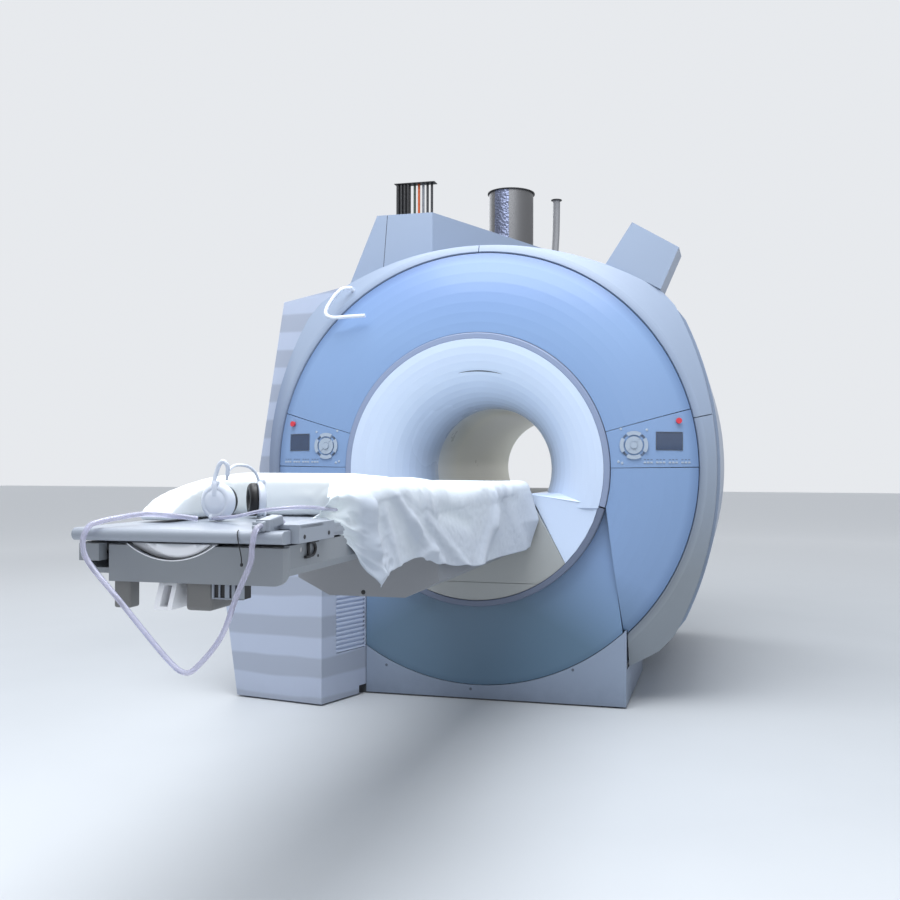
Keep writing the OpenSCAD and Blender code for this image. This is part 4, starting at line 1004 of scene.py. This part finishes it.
class SCANNER_OT_front_details(bpy.types.Operator):
    """Add the keys, printed marks, seam and small fasteners of the front covers"""

    bl_idname = "scanner.front_details"
    bl_label = "Front details"

    def execute(self, context):
        keys, marks, seams = bmesh.new(), bmesh.new(), bmesh.new()
        for side in (1, -1):
            # Four groups of small keys under the display, and round ones by the dial
            for group in range(4):
                for k in range(3):
                    x = side * (0.786 + group * 0.054 + k * 0.0145)
                    add_block(keys, on_dome(x, 0.033, 0.0012), (0.0115, 0.008, 0.0034), 0.0012)
                    add_block(marks, on_dome(x, 0.046, 0.0004), (0.009, 0.0022, 0.0010), 0)
            for dx, rise in ROUND_KEYS:
                add_turned(keys, [(0.0, 0.0022), (0.0045, 0.0022), (0.0058, 0.0014), (0.0060, -0.001)],
                           on_dome(side * (DIAL_X + dx), rise), 20)
            # Frame line round the display
            for dx, dz, sx, sz in ((0, 0.0405, 0.120, 0.0022), (0, -0.0405, 0.120, 0.0022),
                                   (0.0595, 0, 0.0022, 0.081), (-0.0595, 0, 0.0022, 0.081)):
                add_block(marks, on_dome(side * DISPLAY_X, DISPLAY_RISE) @ at(dx, dz, 0.0003),
                          (sx, sz, 0.0012), 0)
            # Printed ring round the arrows
            ring = on_dome(side * DIAL_X, DIAL_RISE)
            for k in range(4):
                for step in range(9):
                    turn = Matrix.Rotation(math.radians(90 * k + 45 - 9 + 2.2 * step), 4, "Z")
                    add_block(marks, ring @ turn @ at(0.056, 0, -0.0006), (0.010, 0.0012, 0.001), 0)
        # Round screw covers in the plinth
        for x, z in PLINTH_SCREWS:
            add_turned(marks, [(0.0, 0.0016), (0.0055, 0.0016), (0.0065, 0.0006), (0.0066, -0.001)],
                       facing(x, -0.955, z), 24)
        self.slit(marks)
        # Seam of the turret cover
        add_block(seams, self.bar((-0.578, 2.388), (-0.600, 2.104), -0.6002), (0.0024, 0.284, 0.0012), 0)
        for bm, name, finish in ((keys, "Panel_keys", "Key grey"), (marks, "Panel_marks", "Mark grey"),
                                 (seams, "Cover_seams", "Seam")):
            piece_from(bm, name, finish, "magnet", smooth=False)
        return {"FINISHED"}

    def slit(self, bm):
        """Thin slit in the top of the funnel."""
        upper, lower = [], []
        for k in range(SLIT_PARTS + 1):
            turn = 2.0 * k / SLIT_PARTS - 1.0
            angle = QUARTER - SLIT_LEAN - turn * SLIT_ANGLE
            half = SLIT_HALF * (1 - turn * turn) + 0.0002
            for store, radius in ((upper, SLIT_RADIUS + half), (lower, SLIT_RADIUS - half)):
                spot = (radius * math.cos(angle), -self.bell(radius) - 0.0009, ISO + radius * math.sin(angle))
                store.append(bm.verts.new(spot))
        for k in range(SLIT_PARTS):
            bm.faces.new((upper[k], upper[k + 1], lower[k + 1], lower[k]))

    def bell(self, radius):
        """How far forward the bell of the funnel lies at a radius."""
        share = 1 - (radius - BELL_RADIUS) / BELL_OUT
        return BELL_DEPTH + BELL_FORWARD * math.sqrt(max(0.0, 1 - share * share))

    def bar(self, top, low, y):
        """Place of a thin bar on a face that looks at the room, between two (x, z) points."""
        lean = math.atan2(top[0] - low[0], top[1] - low[1])
        return (at((top[0] + low[0]) / 2, y, (top[1] + low[1]) / 2) @ Matrix.Rotation(lean, 4, "Y")
                @ Matrix.Rotation(QUARTER, 4, "X"))


# Thin lead that hangs over the end bar, and the D shaped ring of the latch as (y, z), in metres
LEAD_POINTS = [
    (0.151, -3.394, 0.9664), (0.152, -3.4005, 0.9615), (0.1535, -3.4020, 0.951), (0.155, -3.4005, 0.937),
    (0.1545, -3.394, 0.924), (0.152, -3.384, 0.907), (0.150, -3.379, 0.8915)]
LATCH_X = 0.2545
LATCH_RING = [(-3.272, 0.903), (-3.273, 0.918), (-3.272, 0.931), (-3.254, 0.932), (-3.243, 0.927),
              (-3.238, 0.9175), (-3.243, 0.908), (-3.254, 0.903), (-3.272, 0.903)]
# Hand hole in the end panel: middle and radius of its arc, half its angle in degrees, and steps of its lip
HOLE_X, HOLE_Z, HOLE_RADIUS, HOLE_ANGLE, LIP_STEPS = -0.028, 1.077, 0.1822, 36.5, 48
# Underside of the tabletop's end, where the lens is cut off
LENS_CUT = 0.9312
# Face of the leaning pull: its top edge's y and z, and its lean in y for each metre down
PULL_Y, PULL_Z, PULL_LEAN = -3.345, 0.848, -0.40
# Socket strip: its middle, and place and width of each upright bar
SOCKET_X, SOCKET_Z = 0.102, 0.8290
SOCKET_BARS = ((0.0655, 0.005), (0.0810, 0.0035), (0.0997, 0.0110), (0.1150, 0.0085), (0.1325, 0.0150))


class SCANNER_OT_table_details(bpy.types.Operator):
    """Add the small parts at the room end of the table"""

    bl_idname = "scanner.table_details"
    bl_label = "Table details"

    def execute(self, context):
        self.hand_lens()
        blocks, screws = bmesh.new(), bmesh.new()
        # Top of the side block, in two parts with a notch between them
        add_blocks(blocks, [((0.2355, -3.292, 0.9716), (0.073, 0.118, 0.0115), 0.003),
                            ((0.2355, -3.204, 0.9716), (0.073, 0.046, 0.0115), 0.003)])
        # Clamp that holds the hose on the corner, wedge shaped
        clamp = (at(0.206, -3.368, 0.981) @ Matrix.Rotation(math.radians(-24), 4, "Z")
                 @ Matrix.Rotation(math.radians(14), 4, "X"))
        add_block(blocks, clamp, (0.036, 0.058, 0.022), 0.004)
        add_block(blocks, clamp @ at(0, -0.030, -0.003), (0.020, 0.014, 0.016), 0.003)
        piece_from(blocks, "Table_blocks", "Tabletop", "tabletop_body", smooth=False)
        for y in (-3.330, -3.205):
            add_turned(screws, [(0.0, 0.0015), (0.004, 0.0015), (0.005, 0.0005), (0.005, -0.001)],
                       facing(0.272, y, 0.950, "Y"), 16)
        piece_from(screws, "Table_screws", "Black plastic", "tabletop_body", smooth=False)
        self.under_parts()
        self.latch_and_lead()
        dots = bmesh.new()
        add_turned(dots, [(0.0, 0.0020), (0.0060, 0.0020), (0.0074, 0.0008), (0.0076, -0.002)],
                   facing(-0.013, -2.300, 0.682), 24)
        add_turned(dots, [(0.0, 0.0012), (0.0030, 0.0012), (0.0036, -0.001)],
                   facing(0.250, -3.215, 0.898, "Y"), 16)
        piece_from(dots, "Beam_plugs", "Black plastic", "table_lift", smooth=False)
        return {"FINISHED"}

    def hand_lens(self):
        """Bright lens behind the hand hole, cut off under the tabletop, and the lip of the hole."""
        lens = bmesh.new()
        add_turned(lens, [(0.0, 0.0030), (0.106, 0.0026), (0.118, 0.0010), (0.1245, -0.002),
                          (0.1251, -0.006), (0.0, -0.006)], facing(-0.016, -3.3625, 1.0256), 180)
        add_turned(lens, [(0.0, 0.0), (0.1810, 0.0), (0.1810, -0.003), (0.0, -0.003)],
                   facing(HOLE_X, -3.352, HOLE_Z), 180)
        cut = bmesh.ops.bisect_plane(lens, geom=lens.verts[:] + lens.edges[:] + lens.faces[:],
                                     plane_co=(0, 0, LENS_CUT), plane_no=(0, 0, 1), clear_outer=True)
        rim = [e for e in cut["geom_cut"] if isinstance(e, bmesh.types.BMEdge)]
        bmesh.ops.edgenet_fill(lens, edges=rim)
        lip = []
        for k in range(LIP_STEPS + 1):
            a = math.radians(HOLE_ANGLE * (2 * k / LIP_STEPS - 1))
            x, z = HOLE_X + HOLE_RADIUS * math.sin(a), HOLE_Z - HOLE_RADIUS * math.cos(a)
            lip.append(Vector((x, -3.3678, z)))
        add_rod(lens, lip, 0.0014, 8)
        piece_from(lens, "Hand_lens", "Hand lens", "table_lift")

    def under_parts(self):
        """Boxes under the end of the trough, a leaning pull with a slot, and the socket strip."""
        boxes, pull, sockets, bars = (bmesh.new() for _ in range(4))
        # The boxes' finish is darkened as painted shade
        add_blocks(boxes, [((-0.161, -3.332, 0.824), (0.042, 0.036, 0.080), 0.005),
                           ((0.030, -3.304, 0.8235), (0.064, 0.092, 0.079), 0.008)], segments=3)
        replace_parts(piece_from(boxes, "Under_boxes", "Box cream", "table_lift", smooth=False), "under_boxes")
        face, slot = [[(x, PULL_Y + PULL_LEAN * (PULL_Z - z), z) for x, z in
                       ((left, low), (right, low), (right, high), (left, high))]
                      for left, right, low, high in ((-0.0690, -0.0245, 0.787, PULL_Z),
                                                     (-0.0550, -0.0355, 0.793, 0.838))]
        add_frame(pull, face, slot, lambda corner: (0, -3.2505 - corner[1], 0), 0.0035)
        add_block(pull, at(-0.0468, -3.2475, 0.8175), (0.036, 0.004, 0.058), 0.001)
        piece_from(pull, "Slot_pull", "Hand lens", "table_lift", smooth=False)
        # A dark block behind light bars
        add_block(sockets, at(SOCKET_X, -3.332, SOCKET_Z), (0.074, 0.032, 0.034), 0.002)
        for x, width in SOCKET_BARS:
            add_block(bars, at(x, -3.3495, SOCKET_Z), (width, 0.005, 0.035), 0.001)
        for z in (0.8135, 0.8450):
            add_block(bars, at(SOCKET_X, -3.3490, z), (0.076, 0.006, 0.003), 0.001)
        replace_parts(piece_from(sockets, "Coil_sockets", "Black plastic", "table_lift", smooth=False),
                    "coil_sockets")
        piece_from(bars, "Socket_bars", "Tabletop", "table_lift", smooth=False)

    def latch_and_lead(self):
        """The latch, a D shaped ring with its tongue, and the thin lead with a bead at its end."""
        catch, bead = bmesh.new(), bmesh.new()
        add_rod(catch, smooth_path([(LATCH_X, y, z) for y, z in LATCH_RING], 4), 0.0036)
        add_blocks(catch, [((LATCH_X, -3.279, 0.9015), (0.007, 0.020, 0.006), 0.001),
                           ((LATCH_X, -3.246, 0.9335), (0.007, 0.038, 0.005), 0.001)])
        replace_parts(piece_from(catch, "Latch_ring", "Black plastic", "latch_body"), "latch")
        lead = smooth_path(LEAD_POINTS, 5)
        cord = curve_piece("Bar_lead", lead, 0.0012, "Black rubber", "tabletop_body", 3)
        add_turned(bead, [(0.0, -0.004), (0.0024, -0.0032), (0.0034, 0.0), (0.0024, 0.0032), (0.0, 0.004)],
                   at(*LEAD_POINTS[-1]), 16)
        end = piece_from(bead, "Lead_bead", "Black rubber", "tabletop_body")


# Area lights: name, place, what they look at, size in metres and power in watts
LIGHTS = (("Ceiling softbox", (0.0, -2.0, 6.5), (0.0, -2.0, 0.0), 8.0, 300),
          ("Table light", (0.0, -2.8, 4.7), (0.0, -2.8, 0.0), 3.6, 190),
          ("Front fill", (2.6, -6.6, 3.4), (0.0, -1.0, 1.4), 3.4, 18),
          ("Back light", (-2.5, 3.2, 4.2), (0.0, 0.5, 1.5), 3.0, 75))
LIGHT_COLOUR = (0.93, 0.96, 1.0)
# The camera: its place, its turns in degrees, and the shift of its picture
CAMERA_PLACE, CAMERA_TURNS, CAMERA_SHIFT = (1.17, -5.2, 1.114), (90.51, -0.08, 13.55), (-0.0631, 0.0028)
# Half the side of the floor, and the distances between which it fades into the background
FLOOR_HALF, FLOOR_FADE = 30.0, (2.5, 9.0)


class SCANNER_OT_studio(bpy.types.Operator):
    """Set up the floor, lights and camera"""

    bl_idname = "scanner.studio"
    bl_label = "Studio"

    def execute(self, context):
        _, s = settings()
        scene = context.scene
        scene.view_settings.view_transform = "Standard"
        self.floor(scene)
        self.background(scene)
        for name, place, target, size, power in LIGHTS:
            data = bpy.data.lights.new(name, "AREA")
            data.size = size
            data.energy = power
            data.color = LIGHT_COLOUR
            lamp = bpy.data.objects.new(name, data)
            lamp.location = place
            lamp.rotation_euler = (Vector(target) - Vector(place)).to_track_quat("-Z", "Y").to_euler()
            scene.collection.objects.link(lamp)
        data = bpy.data.cameras.new("Camera")
        data.sensor_width = 36.0
        data.lens = s.lens
        data.shift_x, data.shift_y = CAMERA_SHIFT
        camera = bpy.data.objects.new("Camera", data)
        camera.location = CAMERA_PLACE
        camera.rotation_euler = [math.radians(turn) for turn in CAMERA_TURNS]
        scene.collection.objects.link(camera)
        scene.camera = camera
        return {"FINISHED"}

    def floor(self, scene):
        """A plain floor that fades into the background."""
        bm = bmesh.new()
        bmesh.ops.create_grid(bm, x_segments=1, y_segments=1, size=FLOOR_HALF)
        mesh = bpy.data.meshes.new("Floor")
        bm.to_mesh(mesh)
        bm.free()
        floor = bpy.data.objects.new("Floor", mesh)
        scene.collection.objects.link(floor)
        material, tree, surface, place = blank_material("Studio floor")
        base = mixed_colour(tree, noise_node(tree, place, 2.0, 2.0), (0.50, 0.52, 0.54), (0.53, 0.55, 0.57))
        away = add_node(tree, "VectorMath", {0: place}, operation="LENGTH").outputs["Value"]
        base = faded(tree, base, away, *FLOOR_FADE, (0.96, 0.97, 0.98))
        feed(tree, surface.inputs["Base Color"], base)
        feed(tree, surface.inputs["Roughness"], 0.6)
        mesh.materials.append(material)

    def background(self, scene):
        """A pale world, seen as one tone and lighting with another."""
        world = bpy.data.worlds.new("Studio")
        scene.world = world
        world.use_nodes = True
        tree = world.node_tree
        tree.nodes.clear()
        seen = add_node(tree, "Background", {"Color": (0.80, 0.82, 0.85)})
        lit = add_node(tree, "Background", {"Color": (0.86, 0.91, 0.98), "Strength": 0.54})
        path = add_node(tree, "LightPath").outputs
        shown = math_node(tree, "ADD", path["Is Camera Ray"], path["Is Transmission Ray"], clamp=True)
        shown = math_node(tree, "ADD", shown, path["Is Glossy Ray"], clamp=True)
        mix = add_node(tree, "MixShader", {0: shown, 1: lit.outputs[0], 2: seen.outputs[0]})
        add_node(tree, "OutputWorld", {"Surface": mix.outputs[0]})


class SCANNER_PT_panel(bpy.types.Panel):
    """Builds the scanner's pieces and studio"""

    bl_idname = "SCANNER_PT_panel"
    bl_label = "Scanner"
    bl_space_type = "VIEW_3D"
    bl_region_type = "UI"
    bl_category = "Scanner"

    def draw(self, context):
        for group in (context.scene.scanner_colours, context.scene.scanner_sizes):
            for name in group.bl_rna.properties.keys():
                if name not in ("rna_type", "name"):
                    self.layout.prop(group, name)
        for operator in OPERATORS:
            self.layout.operator(operator.bl_idname)


OPERATORS = (
    SCANNER_OT_studio,
    SCANNER_OT_finishes,
    SCANNER_OT_front_details,
    SCANNER_OT_table_details,
    SCANNER_OT_pads,
    SCANNER_OT_sheet,
    SCANNER_OT_headset,
    SCANNER_OT_air_tube,
)
CLASSES = (ScannerColours, ScannerSizes) + OPERATORS + (SCANNER_PT_panel,)


def register():
    for cls in CLASSES:
        bpy.utils.register_class(cls)
    bpy.types.Scene.scanner_colours = bpy.props.PointerProperty(type=ScannerColours)
    bpy.types.Scene.scanner_sizes = bpy.props.PointerProperty(type=ScannerSizes)


def unregister():
    del bpy.types.Scene.scanner_colours
    del bpy.types.Scene.scanner_sizes
    for cls in reversed(CLASSES):
        bpy.utils.unregister_class(cls)


def main():
    register()
    for operator in OPERATORS:
        getattr(bpy.ops.scanner, operator.bl_idname.split(".")[1])()


if __name__ == "__main__":
    main()
